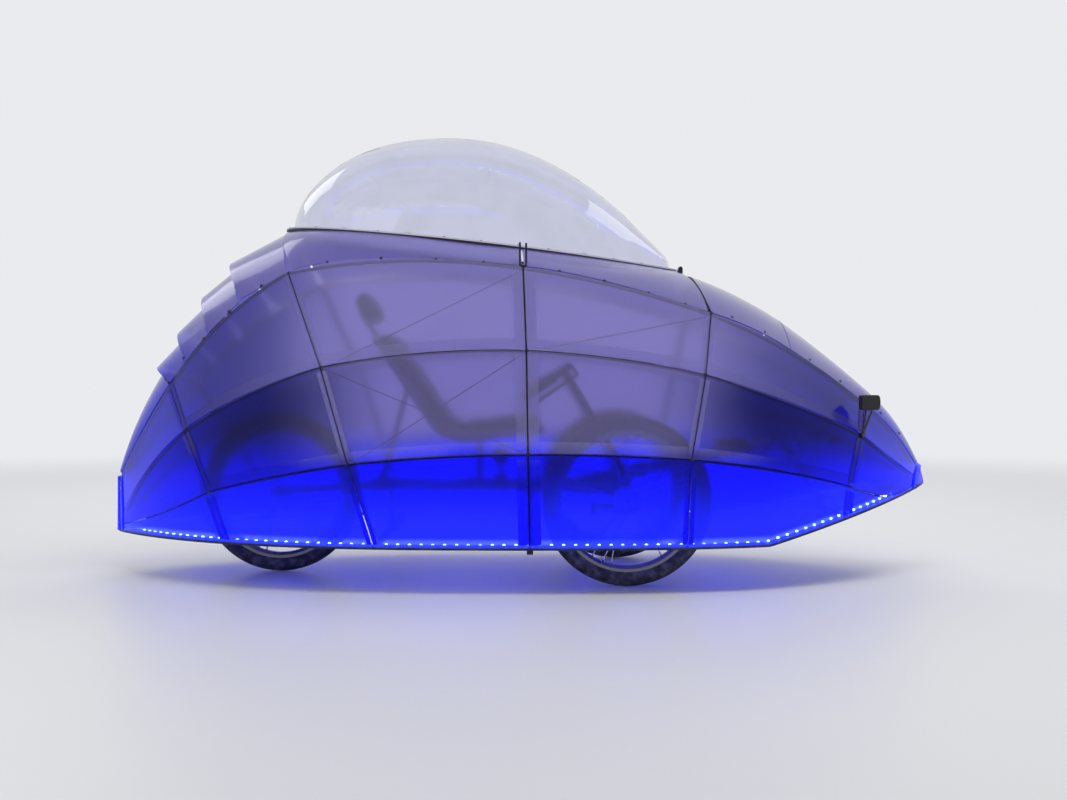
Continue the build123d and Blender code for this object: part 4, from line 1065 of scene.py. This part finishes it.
TAIL_SEAL = TipSeal("tail_seal_strip", (-1.20, 0.0, 0.21), (
    ((-1.2320, 0.0650, 0.1316), (-1.2440, 0.0456, 0.1316), (-1.2470, 0.0360, 0.1316)),
    ((-1.2320, 0.0673, 0.1560), (-1.2421, 0.0501, 0.1524), (-1.2479, 0.0339, 0.1524)),
    ((-1.2320, 0.0620, 0.1900), (-1.2422, 0.0461, 0.1790), (-1.2490, 0.0314, 0.1790)),
    ((-1.2355, 0.0507, 0.2535), (-1.2460, 0.0366, 0.2390), (-1.2515, 0.0257, 0.2390)),
    ((-1.2390, 0.0398, 0.3150), (-1.2493, 0.0270, 0.2985), (-1.2540, 0.0200, 0.2985)),
))
NOSE_SEAL = TipSeal("nose_seal_strip", (1.20, 0.0, 0.28), (
    ((1.2099, 0.0988, 0.2625), (1.2209, 0.0823, 0.2656), (1.2265, 0.0739, 0.2672)),
    ((1.2121, 0.0982, 0.2815), (1.2230, 0.0815, 0.2815), (1.2339, 0.0648, 0.2822)),
    ((1.2181, 0.0822, 0.3077), (1.2291, 0.0666, 0.3004), (1.2421, 0.0469, 0.3002)),
    ((1.2304, 0.0505, 0.3338), (1.2404, 0.0391, 0.3221), (1.2523, 0.0234, 0.3222)),
    ((1.2377, 0.0245, 0.3476), (1.2462, 0.0225, 0.3391), (1.2550, 0.0120, 0.3282)),
    ((1.2408, 0.0000, 0.3507), (1.2493, 0.0000, 0.3422), (1.2578, 0.0000, 0.3342)),
))


@dataclass
class Wheel:
    """Tyre with tread, nipples, valve and drum fins of one wheel; its rim and hub stay as they are."""

    name: str
    body: Body
    centre: Point
    drum: bool = True
    section: float = 0.0235
    inset: float = 0.0004
    bead: float = 0.2083
    steps: int = 180
    groove: float = 0.0022
    sipe: float = 0.0016
    sipe_from: float = 0.0068
    spokes: int = 20
    cross: float = math.radians(22.0)
    flange: tuple[float, float] = (0.031, 0.026)
    rim_inner: float = 0.190
    nipple: tuple[float, float] = (0.0021, 0.0030)
    nipple_long: float = 0.012
    nipple_sunk: float = 0.005
    valve_turn: float = 0.9
    valve: tuple[tuple[float, float], ...] = (
        (0.0, -0.034), (0.0024, -0.034), (0.0034, -0.031), (0.0034, -0.020), (0.0027, -0.019),
        (0.0027, -0.004), (0.0058, -0.003), (0.0058, 0.001), (0.0, 0.001),
    )
    fin_places: tuple[float, ...] = (-0.0135, -0.0045, 0.0045, 0.0135)
    fin: tuple[tuple[float, float], ...] = (
        (0.0396, -0.0015), (0.0428, -0.0009), (0.0428, 0.0009), (0.0396, 0.0015),
    )

    def outline(self) -> list[tuple[float, float]]:
        """Tyre section with three grooves, as (radius, distance along the axle)."""
        middle = WHEEL_R - self.section
        points: list[tuple[float, float]] = []
        cuts = {-22: 0.0, -18: 1.0, -14: 0.0, -3: 0.0, 0: 1.0, 3: 0.0, 14: 0.0, 18: 1.0, 22: 0.0}
        for angle in sorted(set(range(-132, 133, 12)) | set(cuts)):
            turn = math.radians(angle)
            reach = self.section - self.inset - self.groove * cuts.get(angle, 0.0)
            point = (middle + reach * math.cos(turn), reach * math.sin(turn))
            if point[0] > self.bead:
                points.append(point)
        points.append((self.bead, points[-1][1]))
        points.insert(0, (self.bead, points[0][1]))
        return points

    def build(self) -> None:
        """Make the tyre and cut its shoulder blocks."""
        mesh = bmesh.new()
        middle = Vector(self.centre)
        lathe(mesh, self.outline(), middle, AXLE, self.steps)
        tread = WHEEL_R - self.section + 0.6 * self.section
        for vert in mesh.verts:
            arm = vert.co - middle
            reach = math.hypot(arm.x, arm.z)
            step = round(math.atan2(arm.z, arm.x) / math.tau * self.steps) % 3
            if reach > tread and step == 0 and abs(arm.y) > self.sipe_from:
                vert.co -= Vector((arm.x, 0.0, arm.z)) * (self.sipe / reach)
        made = piece(f"{self.name}_tread_tyre", mesh, self.body, "tyre")
        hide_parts(f"{self.name}_tyre")
        self.fittings()
        if self.drum:
            self.fins()

    def fittings(self) -> None:
        """Make the spoke nipples and the valve at the rim."""
        mesh = bmesh.new()
        middle = Vector(self.centre)
        flange_r, flange_y = self.flange
        for number in range(self.spokes):
            side = 1.0 if number % 2 else -1.0
            cross = self.cross if number % 4 < 2 else -self.cross
            start = math.tau * number / self.spokes
            foot = Vector((math.cos(start) * flange_r, -side * flange_y, math.sin(start) * flange_r))
            tip = Vector((math.cos(start + cross), 0.0, math.sin(start + cross))) * self.rim_inner
            arm = (tip - foot).normalized()
            spot = turned(arm, middle + tip - arm * self.nipple_sunk)
            peg(mesh, spot, 8, self.nipple, self.nipple_long)
        stem = Vector((math.cos(self.valve_turn), 0.0, math.sin(self.valve_turn)))
        lathe(mesh, self.valve, middle + stem * self.rim_inner, stem, 12, closed=False)
        piece(f"{self.name}_nipples_valve", mesh, self.body, "steel")

    def fins(self) -> None:
        """Make the cooling fins round the drum brake."""
        mesh = bmesh.new()
        for along in self.fin_places:
            outline = [(radius, along + out) for radius, out in self.fin]
            lathe(mesh, outline, Vector(self.centre), AXLE, 48)
        piece(f"{self.name}_drum_fins", mesh, self.body, "steel")


@dataclass
class SoftPad:
    """Padded piece blown up from its CAD solid, with sewn channels."""

    node: str
    name: str
    shrink: float = 0.004
    voxel: float = 0.006
    swell: float = 0.010
    channel: float = 0.075
    sink: float = 0.006
    stitch: float = 0.007
    pressure: float = 4.0
    frames: int = 20

    def base(self) -> bpy.types.Object:
        """Copy of the CAD solid, merged, drawn in and remeshed."""
        source = bpy.data.objects[self.node]
        data = source.data.copy()
        mesh = bmesh.new()
        mesh.from_mesh(data)
        bmesh.ops.remove_doubles(mesh, verts=mesh.verts, dist=1e-5)
        bmesh.ops.recalc_face_normals(mesh, faces=mesh.faces)
        mesh.normal_update()
        for vert in mesh.verts:
            vert.co -= vert.normal * self.shrink
        mesh.to_mesh(data)
        mesh.free()
        data.materials.clear()
        made = bpy.data.objects.new(self.name, data)
        bpy.context.scene.collection.objects.link(made)
        remesh = made.modifiers.new("voxels", "REMESH")
        remesh.mode = "VOXEL"
        remesh.voxel_size = self.voxel
        self.freeze(made)
        return made

    def freeze(self, made: bpy.types.Object) -> None:
        """Put the modifiers' result into the mesh and drop the modifiers.

        Args:
            made: the pad.
        """
        graph = bpy.context.evaluated_depsgraph_get()
        data = bpy.data.meshes.new_from_object(made.evaluated_get(graph))
        made.modifiers.clear()
        made.data = data

    def blow(self, made: bpy.types.Object) -> None:
        """Swell the pad with a short cloth simulation, its motion capped.

        Args:
            made: the pad.
        """
        rest = [vert.co.copy() for vert in made.data.vertices]
        cloth = made.modifiers.new("filling", "CLOTH")
        cloth.settings.use_pressure = True
        cloth.settings.uniform_pressure_force = self.pressure
        cloth.settings.effector_weights.gravity = 0.0
        scene = bpy.context.scene
        for number in range(1, self.frames + 1):
            scene.frame_set(number)
        self.freeze(made)
        scene.frame_set(1)
        for vert, start in zip(made.data.vertices, rest):
            move = vert.co - start
            if move.length > self.swell:
                vert.co = start + move * (self.swell / move.length)

    def sew(self, made: bpy.types.Object) -> None:
        """Press sewn channels across the pad.

        Args:
            made: the pad.
        """
        low = Vector((min(v.co[i] for v in made.data.vertices) for i in range(3)))
        for vert in made.data.vertices:
            run = math.hypot(vert.co.x - low.x, vert.co.z - low.z)
            phase = abs((run / self.channel) % 1.0 - 0.5) * self.channel
            press = math.exp(-((phase / self.stitch) ** 2))
            vert.co -= vert.normal * (self.sink * press)

    def build(self) -> None:
        """Make the pad and let it stand for its CAD solid."""
        made = self.base()
        self.blow(made)
        self.sew(made)
        made.data.polygons.foreach_set("use_smooth", [True] * len(made.data.polygons))
        smooth = made.modifiers.new("smooth", "SUBSURF")
        smooth.levels = smooth.render_levels = 1
        made.data.materials.append(FINISHES.get("cloth"))
        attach(made, Body.CHASSIS.value)
        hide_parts(self.node)
        LOG.info("%s: %d faces on %s", self.name, len(made.data.polygons), Body.CHASSIS.value)


@dataclass
class ShellFixings:
    """Screws that hold the sheets, louvres, tips and canopy flange."""

    lines: ShellLines
    knots: tuple[tuple[str, int], ...] = (
        ("low", 1), ("low", 2), ("low", 3), ("low", 4), ("low", 5),
        ("mid", 1), ("mid", 2), ("mid", 3), ("mid", 4), ("top", 4), ("top", 5),
    )
    louvres: tuple[float, ...] = (-0.771, -0.871, -0.959, -1.036)
    surround: tuple[float, ...] = (-0.56, -0.40, -0.24, -0.10, 0.12, 0.25, 0.38, 0.49)
    deck: tuple[float, ...] = (0.62, 0.72, 0.86, 0.96, 1.10, 1.17)
    tips: tuple[tuple[str, float, float], ...] = (
        ("nose_cone", 1.243, 0.284), ("nose_cone", 1.240, 0.302),
        ("tail_cap", -1.250, 0.165), ("tail_cap", -1.252, 0.262),
    )
    tip_off: float = 0.12
    flange: tuple[float, ...] = (-0.62, -0.42, -0.22, -0.11, 0.0, 0.09, 0.29, 0.38)
    flange_mid: float = 0.011
    flange_up: float = 0.0023
    base: tuple[float, float, float] = (-0.7073, 1.0662, 0.10422)
    knot_r: float = 0.0052
    louvre_r: float = 0.0060
    panel_r: float = 0.0042
    tip_r: float = 0.0038
    head_rise: float = 0.55
    flange_head: tuple[float, float] = (0.0045, 0.0026)
    deck_in: float = 0.014
    above: float = 1.3

    def heads(self) -> list[tuple[Vector, Vector, float]]:
        """Seats, directions and radii of the left side's screws on the chassis."""
        out = [(self.lines.knot(*k), self.lines.knot_normal(*k), self.knot_r) for k in self.knots]
        for node, spots, up, radius in (
            ("rear_louvres", self.louvres, 0.030, self.louvre_r),
            ("canopy_surround", self.surround, 0.016, self.panel_r),
        ):
            found = Surface(node)
            for x in spots:
                breadth, height = self.lines.half_breadth("top", x), self.lines.line_height("top", x)
                out.append((*found.nearest(Vector((x, breadth + up, height + 2.0 * up))), radius))
        found = Surface("deck_panels")
        for x in self.deck:
            start = Vector((x, self.lines.half_breadth("top", x) - self.deck_in, self.above))
            out.append((*found.hit(start, -UP), self.panel_r))
        for node, x, z in self.tips:
            out.append((*Surface(node).nearest(Vector((x, self.tip_off, z))), self.tip_r))
        return out

    def flange_heads(self) -> list[tuple[Vector, Vector]]:
        """Seats and directions of the left side's screws on the canopy flange."""
        found = Surface("canopy_rim")
        x0, z0, slope = self.base
        up = Vector((slope, 0.0, 1.0)).normalized()
        out = []
        for x in self.flange:
            level = z0 - slope * (x - x0) + self.flange_up
            edge, normal = found.hit(Vector((x, 1.0, level)), -AXLE)
            out.append(found.hit(edge - normal * self.flange_mid + up * 0.05, -up))
        return out

    def build(self) -> None:
        """Make the screws of both sides."""
        mesh = bmesh.new()
        for place, axis, radius in self.heads():
            button_head(mesh, place, axis, radius, self.head_rise * radius)
        both_sides(mesh)
        piece("shell_screws", mesh, Body.CHASSIS, "screw", smooth=False)
        mesh = bmesh.new()
        for place, axis in self.flange_heads():
            button_head(mesh, place, axis, *self.flange_head)
        both_sides(mesh)
        piece("flange_screws", mesh, Body.CANOPY, "screw", smooth=False)


@dataclass
class HeadLamp:
    """Bowl, lens and bezel in the front of a lamp box."""

    name: str
    face: Vector
    bowl: tuple[tuple[float, float], ...] = (
        (0.0, 0.0005), (0.006, 0.0006), (0.0115, 0.0012), (0.0150, 0.0020), (0.0167, 0.0028),
        (0.0167, 0.0002), (0.0, 0.0002),
    )
    lens: tuple[tuple[float, float], ...] = (
        (0.0, 0.0068), (0.005, 0.0065), (0.0098, 0.0057), (0.0138, 0.0045), (0.0160, 0.0036),
        (0.0167, 0.0031), (0.0167, 0.0029), (0.0, 0.0029),
    )
    bezel: tuple[tuple[float, float], ...] = (
        (0.0171, 0.0016), (0.0208, 0.0016), (0.0208, 0.0044), (0.0196, 0.0056), (0.0180, 0.0056),
        (0.0171, 0.0046),
    )

    def build(self) -> None:
        """Make the three turned pieces, measured from the floor of the box's recess."""
        for part, outline, closed, finish, slot in (
            ("bowl", self.bowl, False, "mirror", Slot.STEEL),
            ("lens", self.lens, False, "acrylic", Slot.CANOPY),
            ("bezel", self.bezel, True, "plastic", Slot.PLASTIC),
        ):
            mesh = bmesh.new()
            lathe(mesh, outline, self.face, AHEAD, 40, closed)
            piece(f"{self.name}_{part}", mesh, Body.CHASSIS, finish)


@dataclass
class DriveChain:
    """Chain of plates and pins along the drive loop, and the teeth that it runs on."""

    ring: Point = (0.810, 0.410, 0.082)
    cog: Point = (REAR_X, WHEEL_R, 0.046)
    power: tuple[float, float] = (-0.060, 0.335)
    back: tuple[float, float] = (-0.060, 0.312)
    across: float = -0.045
    pitch: float = 0.0127
    plate: Point = (0.0034, 0.0038, 0.0009)
    plate_off: tuple[float, float] = (0.0026, 0.0036)
    pin_r: float = 0.0017
    pin_long: float = 0.0086
    ring_root: float = 0.0768
    ring_teeth: int = 40
    cog_root: float = 0.0408
    cog_teeth: int = 23
    tooth: float = 0.0029
    tooth_band: float = 0.006
    tooth_thick: float = 0.0022

    def touch(self, wheel: Point, point: tuple[float, float], side: float) -> float:
        """Angle on a wheel where a straight run to a point leaves it.

        Args:
            wheel: x, z and radius of the wheel.
            point: x and z of the point.
            side: 1 or -1 for the two such places.

        Returns:
            The angle from +X.
        """
        dx, dz = point[0] - wheel[0], point[1] - wheel[1]
        return math.atan2(dz, dx) + side * math.acos(wheel[2] / math.hypot(dx, dz))

    def bend(self, wheel: Point, start: float, stop: float) -> list[Vector]:
        """Points round a wheel from one angle down to another.

        Args:
            wheel: x, z and radius of the wheel.
            start: first angle.
            stop: last angle.

        Returns:
            The points in the chain's plane.
        """
        if stop > start:
            stop -= math.tau
        x, z, radius = wheel
        cuts = 60
        turns = [start + (stop - start) * i / cuts for i in range(cuts + 1)]
        return [Vector((x + radius * math.cos(a), self.across, z + radius * math.sin(a))) for a in turns]

    def knots(self) -> list[Vector]:
        """Pin places at an even pitch round the loop."""
        loop = []
        for wheel, before, after in ((self.ring, self.power, self.back), (self.cog, self.back, self.power)):
            loop += self.bend(wheel, self.touch(wheel, before, -1.0), self.touch(wheel, after, 1.0))
            loop.append(Vector((after[0], self.across, after[1])))
        runs = [(b - a).length for a, b in zip(loop, loop[1:] + loop[:1])]
        count = 2 * round(sum(runs) / self.pitch / 2.0)
        step, out, walked, spot = sum(runs) / count, [], 0.0, 0
        for number in range(count):
            goal = number * step
            while walked + runs[spot] < goal:
                walked += runs[spot]
                spot += 1
            ahead = loop[(spot + 1) % len(loop)] - loop[spot]
            out.append(loop[spot] + ahead * ((goal - walked) / runs[spot]))
        return out

    def links(self) -> None:
        """Make the links and let them stand for the plain chain."""
        mesh = bmesh.new()
        pins = self.knots()
        past, tall, thick = self.plate
        for number, (a, b) in enumerate(zip(pins, pins[1:] + pins[:1])):
            along = (b - a).normalized()
            turn = Matrix((along, along.cross(AXLE), AXLE)).transposed().to_4x4()
            size = Matrix.Diagonal((0.5 * (b - a).length + past, tall, thick, 1.0))
            for side in SIDES:
                off = AXLE * side * self.plate_off[number % 2]
                peg(mesh, Matrix.Translation((a + b) / 2.0 + off) @ turn @ size, 10, (1.0, 1.0), 1.0)
            peg(mesh, turned(AXLE, a), 6, (self.pin_r, self.pin_r), self.pin_long)
        made = piece("chain_links", mesh, Body.CHASSIS, "steel", smooth=False)
        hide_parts("chain")

    def tooth_ring(self, name: str, body: Body, wheel: Point, root: float, count: int) -> None:
        """Make a flat ring of teeth.

        Args:
            name: the piece's name.
            body: body that it turns with.
            wheel: x, z and radius of its wheel.
            root: radius between the teeth.
            count: number of teeth.
        """
        mesh = bmesh.new()
        tips = bmesh.ops.create_circle(mesh, segments=4 * count, radius=root)["verts"]
        bmesh.ops.create_circle(mesh, segments=4 * count, radius=root - self.tooth_band)
        for number, vert in enumerate(tips):
            if number % 4 in (1, 2):
                vert.co *= 1.0 + self.tooth / root
        rim = bmesh.ops.bridge_loops(mesh, edges=mesh.edges[:])["faces"]
        drawn = bmesh.ops.extrude_face_region(mesh, geom=rim)["geom"]
        top = [vert for vert in drawn if isinstance(vert, bmesh.types.BMVert)]
        bmesh.ops.translate(mesh, verts=top, vec=UP * self.tooth_thick)
        place = Vector((wheel[0], self.across - self.tooth_thick / 2.0, wheel[1]))
        bmesh.ops.transform(mesh, matrix=turned(AXLE, place), verts=mesh.verts[:])
        piece(name, mesh, body, "steel", smooth=False)

    def build(self) -> None:
        """Make the chain and both tooth rings."""
        self.links()
        self.tooth_ring("chainring_teeth", Body.CRANK, self.ring, self.ring_root, self.ring_teeth)
        self.tooth_ring("sprocket_teeth", Body.REAR, self.cog, self.cog_root, self.cog_teeth)


@dataclass
class HandGrip:
    """Ribbed rubber grip with a closed end, as outlines of (radius, distance from its end)."""

    side: float
    rear: tuple[float, float] = (0.016, 0.552)
    front: tuple[float, float] = (0.155, 0.647)
    across: float = 0.310
    end: float = 0.006
    ribs: int = 14
    pitch: float = 0.0070
    rib: tuple[tuple[float, float], ...] = (
        (0.0158, 0.0), (0.0158, 0.0042), (0.0146, 0.0049), (0.0146, 0.0063),
    )
    closed_end: tuple[tuple[float, float], ...] = ((0.0, 0.0), (0.0138, 0.0), (0.0158, 0.0016))
    collar: tuple[tuple[float, float], ...] = (
        (0.0158, 0.1052), (0.0176, 0.1070), (0.0176, 0.1108), (0.0162, 0.1120), (0.0113, 0.1120),
        (0.0113, 0.0060), (0.0, 0.0060),
    )

    def build(self) -> None:
        """Turn the grip about its bar and let it stand for the plain one."""
        name = f"grip_{SIDE_NAMES[self.side]}"
        rear = Vector((self.rear[0], self.side * self.across, self.rear[1]))
        axis = Vector((self.front[0] - self.rear[0], 0.0, self.front[1] - self.rear[1])).normalized()
        outline = list(self.closed_end)
        for number in range(self.ribs):
            start = self.end + number * self.pitch
            outline += [(radius, start + along) for radius, along in self.rib]
        outline += self.collar
        mesh = bmesh.new()
        lathe(mesh, outline, rear - axis * self.end, axis, 28, closed=False)
        made = piece(f"{name}_ribbed", mesh, STEER_BODY[self.side], "grip")
        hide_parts(name)


@dataclass
class FrameTrim:
    """Weld beads, housing lips, clamp bolts and axle nuts of the trike."""

    spine_z: float = 0.271
    root_x: float = 0.070
    king_y: float = 0.285
    arm_r: float = 0.0160
    king_weld: float = 0.0185
    root_weld: float = 0.0290
    lips: tuple[float, float] = (0.2345, 0.2995)
    lip_r: float = 0.0170
    lip_size: float = 0.0016
    stay_x: float = -0.478
    stay_y: float = 0.066
    stay_r: float = 0.0090
    stay_weld: float = 0.014
    bend_x: float = 0.150
    boom: tuple[float, float] = (0.660, 0.139)
    clamps: tuple[float, float] = (0.219, 0.237)
    clamp_out: float = 0.0238
    clamp_head: tuple[float, float] = (0.0048, 0.0036)
    nut: tuple[tuple[int, float, float, float], ...] = (
        (24, 0.0130, 0.0016, 0.0303), (6, 0.0108, 0.0062, 0.0344),
    )

    def bead(self, mesh: bmesh.types.BMesh, place: Vector, axis: Vector, radius: float,
             size: float = 0.0024) -> None:
        """Add one weld bead or lip round a tube.

        Args:
            mesh: bmesh that takes the bead.
            place: point on the tube's axis.
            axis: direction of the tube.
            radius: the tube's radius.
            size: the bead's own radius.
        """
        turns = [math.tau * i / 8 for i in range(8)]
        ring = [(radius + size * math.cos(turn), size * math.sin(turn)) for turn in turns]
        lathe(mesh, ring, place, axis, 40)

    def welds(self, mesh: bmesh.types.BMesh, side: float) -> None:
        """Add one side's beads and lips.

        Args:
            mesh: bmesh that takes them.
            side: 1 for the left, -1 for the right.
        """
        root = Vector((self.root_x, 0.0, self.spine_z))
        king = Vector((FRONT_X, side * self.king_y, self.spine_z))
        arm = (king - root).normalized()
        self.bead(mesh, king - arm * self.king_weld, arm, self.arm_r)
        self.bead(mesh, root + arm * self.root_weld, arm, self.arm_r)
        for z in self.lips:
            self.bead(mesh, Vector((king.x, king.y, z)), UP, self.lip_r, self.lip_size)
        start = Vector((self.stay_x, side * self.stay_y, self.spine_z))
        stay = (Vector((REAR_X, side * self.stay_y, WHEEL_R)) - start).normalized()
        self.bead(mesh, start + stay * self.stay_weld, stay, self.stay_r)

    def nuts(self, side: float) -> None:
        """Make one front axle's washer and nut.

        Args:
            side: 1 for the left, -1 for the right.
        """
        mesh = bmesh.new()
        for sides, radius, depth, out in self.nut:
            place = Vector((FRONT_X, side * (TRACK_HALF + out), WHEEL_R))
            peg(mesh, turned(AXLE, place), sides, (radius, radius), depth)
        name = f"axle_nut_{SIDE_NAMES[side]}"
        piece(name, mesh, STEER_BODY[side], "steel", smooth=False)

    def build(self) -> None:
        """Make the beads, lips, bolts and nuts."""
        beads, bolts = bmesh.new(), bmesh.new()
        bend = Vector((self.bend_x, 0.0, self.spine_z))
        boom = Vector((self.boom[0], 0.0, self.boom[1])).normalized()
        for side in SIDES:
            self.welds(beads, side)
            for along in self.clamps:
                place = bend + boom * along + AXLE * side * self.clamp_out
                button_head(bolts, place, AXLE * side, *self.clamp_head)
            self.nuts(side)
        piece("frame_weld_beads", beads, Body.CHASSIS, "frame")
        piece("boom_clamp_bolts", bolts, Body.CHASSIS, "screw", smooth=False)


# Studio


@dataclass(frozen=True)
class SoftLamp:
    """Soft area lamp, which glossy surfaces or clear sheets may show."""

    name: str
    place: Point
    aim: Point
    size: tuple[float, float]
    power: float
    mirrored: bool = False
    through: bool = False

    def hang(self) -> None:
        """Hang the lamp, hidden from the camera."""
        data = bpy.data.lights.new(self.name, "AREA")
        data.shape = "RECTANGLE"
        data.size, data.size_y = self.size
        data.energy = self.power
        made = bpy.data.objects.new(self.name, data)
        made.location = self.place
        made.rotation_euler = (Vector(self.aim) - Vector(self.place)).to_track_quat("-Z", "Y").to_euler()
        made.visible_camera = False
        made.visible_glossy = self.mirrored
        made.visible_transmission = self.through
        bpy.context.scene.collection.objects.link(made)


@dataclass
class Studio:
    """Pale floor, soft light and the camera."""

    eye: Point = (0.042, -5.03, 0.629)
    pitch_down: float = 1.04
    lens: float = 53.98
    sensor: float = 36.0
    floor_half: float = 60.0
    floor_rough: float = 0.42
    floor_tone: Colour = (0.80, 0.80, 0.81)
    back_tone: Colour = (0.82, 0.83, 0.855)
    fade: tuple[float, float] = (2.4, 8.0)
    soft_light: float = 0.42
    lamps: tuple[SoftLamp, ...] = (
        SoftLamp("key", (0.8, -2.4, 4.4), (0.0, 0.0, 0.5), (5.0, 1.4), 100.0),
        SoftLamp("fill", (-3.6, -3.4, 2.6), (0.0, 0.0, 0.5), (2.5, 2.5), 30.0, through=True),
        SoftLamp("back", (0.0, 4.2, 3.0), (0.0, 0.0, 0.6), (5.0, 2.0), 80.0),
        SoftLamp("rear_box", (-3.4, 2.4, 3.3), (-0.8, -0.2, 0.9), (1.7, 1.7), 20.0, mirrored=True),
        SoftLamp("front_box", (3.2, 0.9, 3.4), (0.7, -0.2, 0.8), (1.9, 1.3), 20.0, mirrored=True),
    )

    def camera(self) -> None:
        """Put the camera where the photograph was taken from."""
        data = bpy.data.cameras.new("camera")
        data.lens = self.lens
        data.sensor_fit = "HORIZONTAL"
        data.sensor_width = self.sensor
        data.clip_end = 200.0
        made = bpy.data.objects.new("camera", data)
        made.location = self.eye
        made.rotation_euler = (math.radians(90.0 - self.pitch_down), 0.0, 0.0)
        bpy.context.scene.collection.objects.link(made)
        bpy.context.scene.camera = made

    def seen(self, graph: Graph) -> bpy.types.NodeSocket:
        """Mask of rays that show the background: from the camera, a reflection or clear sheet.

        Args:
            graph: graph of the floor's material or of the world.

        Returns:
            The mask's socket.
        """
        path = graph.add("ShaderNodeLightPath").outputs
        seen = graph.maths("MAXIMUM", path["Is Camera Ray"], path["Is Glossy Ray"])
        return graph.maths("MAXIMUM", seen, path["Is Transmission Ray"])

    def floor(self) -> None:
        """Lay the pale floor, which fades into the background far away."""
        mesh = bmesh.new()
        bmesh.ops.create_grid(mesh, x_segments=8, y_segments=8, size=self.floor_half)
        data = bpy.data.meshes.new("floor")
        mesh.to_mesh(data)
        mesh.free()
        made = bpy.data.objects.new("floor", data)
        bpy.context.scene.collection.objects.link(made)
        material, graph, shader = new_material("floor_pale")
        vector = graph.place()[0]
        cloud = graph.noise(vector, 1.5, 4.0)
        pale = tuple(0.97 * c for c in self.floor_tone)
        graph.feed(shader.inputs["Base Color"], graph.mix(cloud, self.floor_tone, pale))
        shader.inputs["Roughness"].default_value = self.floor_rough
        far = graph.add("ShaderNodeVectorMath", operation="LENGTH")
        graph.feed(far.inputs[0], vector)
        fade = graph.maths("MULTIPLY", graph.step(far.outputs["Value"], *self.fade), self.seen(graph))
        glow = graph.add("ShaderNodeEmission")
        glow.inputs["Color"].default_value = (*self.back_tone, 1.0)
        blend = graph.add("ShaderNodeMixShader")
        for socket, value in zip(blend.inputs, (fade, shader.outputs[0], glow.outputs[0])):
            graph.feed(socket, value)
        graph.feed(material.node_tree.nodes["Material Output"].inputs["Surface"], blend.outputs[0])
        data.materials.append(material)

    def world(self) -> None:
        """Set an even pale surround, dimmer as a light than as a background."""
        world = bpy.data.worlds.new("surround")
        bpy.context.scene.world = world
        world.use_nodes = True
        world.node_tree.nodes.clear()
        graph = Graph(world.node_tree)
        back = graph.add("ShaderNodeBackground")
        back.inputs["Color"].default_value = (*self.back_tone, 1.0)
        level = graph.maths("MULTIPLY_ADD", self.seen(graph), 1.0 - self.soft_light, self.soft_light)
        graph.feed(back.inputs["Strength"], level)
        target = graph.add("ShaderNodeOutputWorld")
        graph.feed(target.inputs["Surface"], back.outputs[0])

    def build(self) -> None:
        """Set the whole studio."""
        bpy.context.scene.view_settings.view_transform = "Standard"
        self.camera()
        self.floor()
        for lamp in self.lamps:
            lamp.hang()
        self.world()


def dress_nodes(nodes: dict[str, bpy.types.Object]) -> None:
    """Give every CAD node its finish.

    Args:
        nodes: CAD objects by node name.
    """
    for finish, names in NODE_FINISH.items():
        for name in names:
            for slot in nodes[name].material_slots:
                slot.material = FINISHES.get(finish)
            LOG.info("%s: %s", name, finish)


def assemblies() -> list[Assembly]:
    """Every sub-assembly, in the order that they are built."""
    lines = ShellLines()
    parts: list[Assembly] = [LightTape(lines), RailEdge(lines), TAIL_SEAL, NOSE_SEAL]
    parts += [
        Wheel("front_wheel_right", Body.FRONT_RIGHT, (FRONT_X, -TRACK_HALF, WHEEL_R)),
        Wheel("front_wheel_left", Body.FRONT_LEFT, (FRONT_X, TRACK_HALF, WHEEL_R)),
        Wheel("rear_wheel", Body.REAR, (REAR_X, 0.0, WHEEL_R), drum=False),
        ShellFixings(lines),
    ]
    lamp = lines.knot("mid", 5) + LAMP_SEAT
    for side in SIDES:
        parts.append(HeadLamp(f"lamp_{SIDE_NAMES[side]}", Vector((lamp.x, side * lamp.y, lamp.z))))
        parts.append(HandGrip(side))
    parts += [
        DriveChain(),
        FrameTrim(),
        SoftPad("seat_pad", "seat_cushion"),
        SoftPad("headrest", "head_cushion", channel=0.05, swell=0.008),
    ]
    return parts


def main() -> None:
    """Load the frame, dress its nodes, set the studio and build each sub-assembly in order."""
    logging.basicConfig(level=logging.INFO, format="%(name)s %(message)s")
    for stray in list(bpy.data.objects):
        bpy.data.objects.remove(stray)
    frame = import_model()
    dress_nodes(frame["nodes"])
    Studio().build()
    for part in assemblies():
        part.build()


if __name__ == "__main__":
    main()
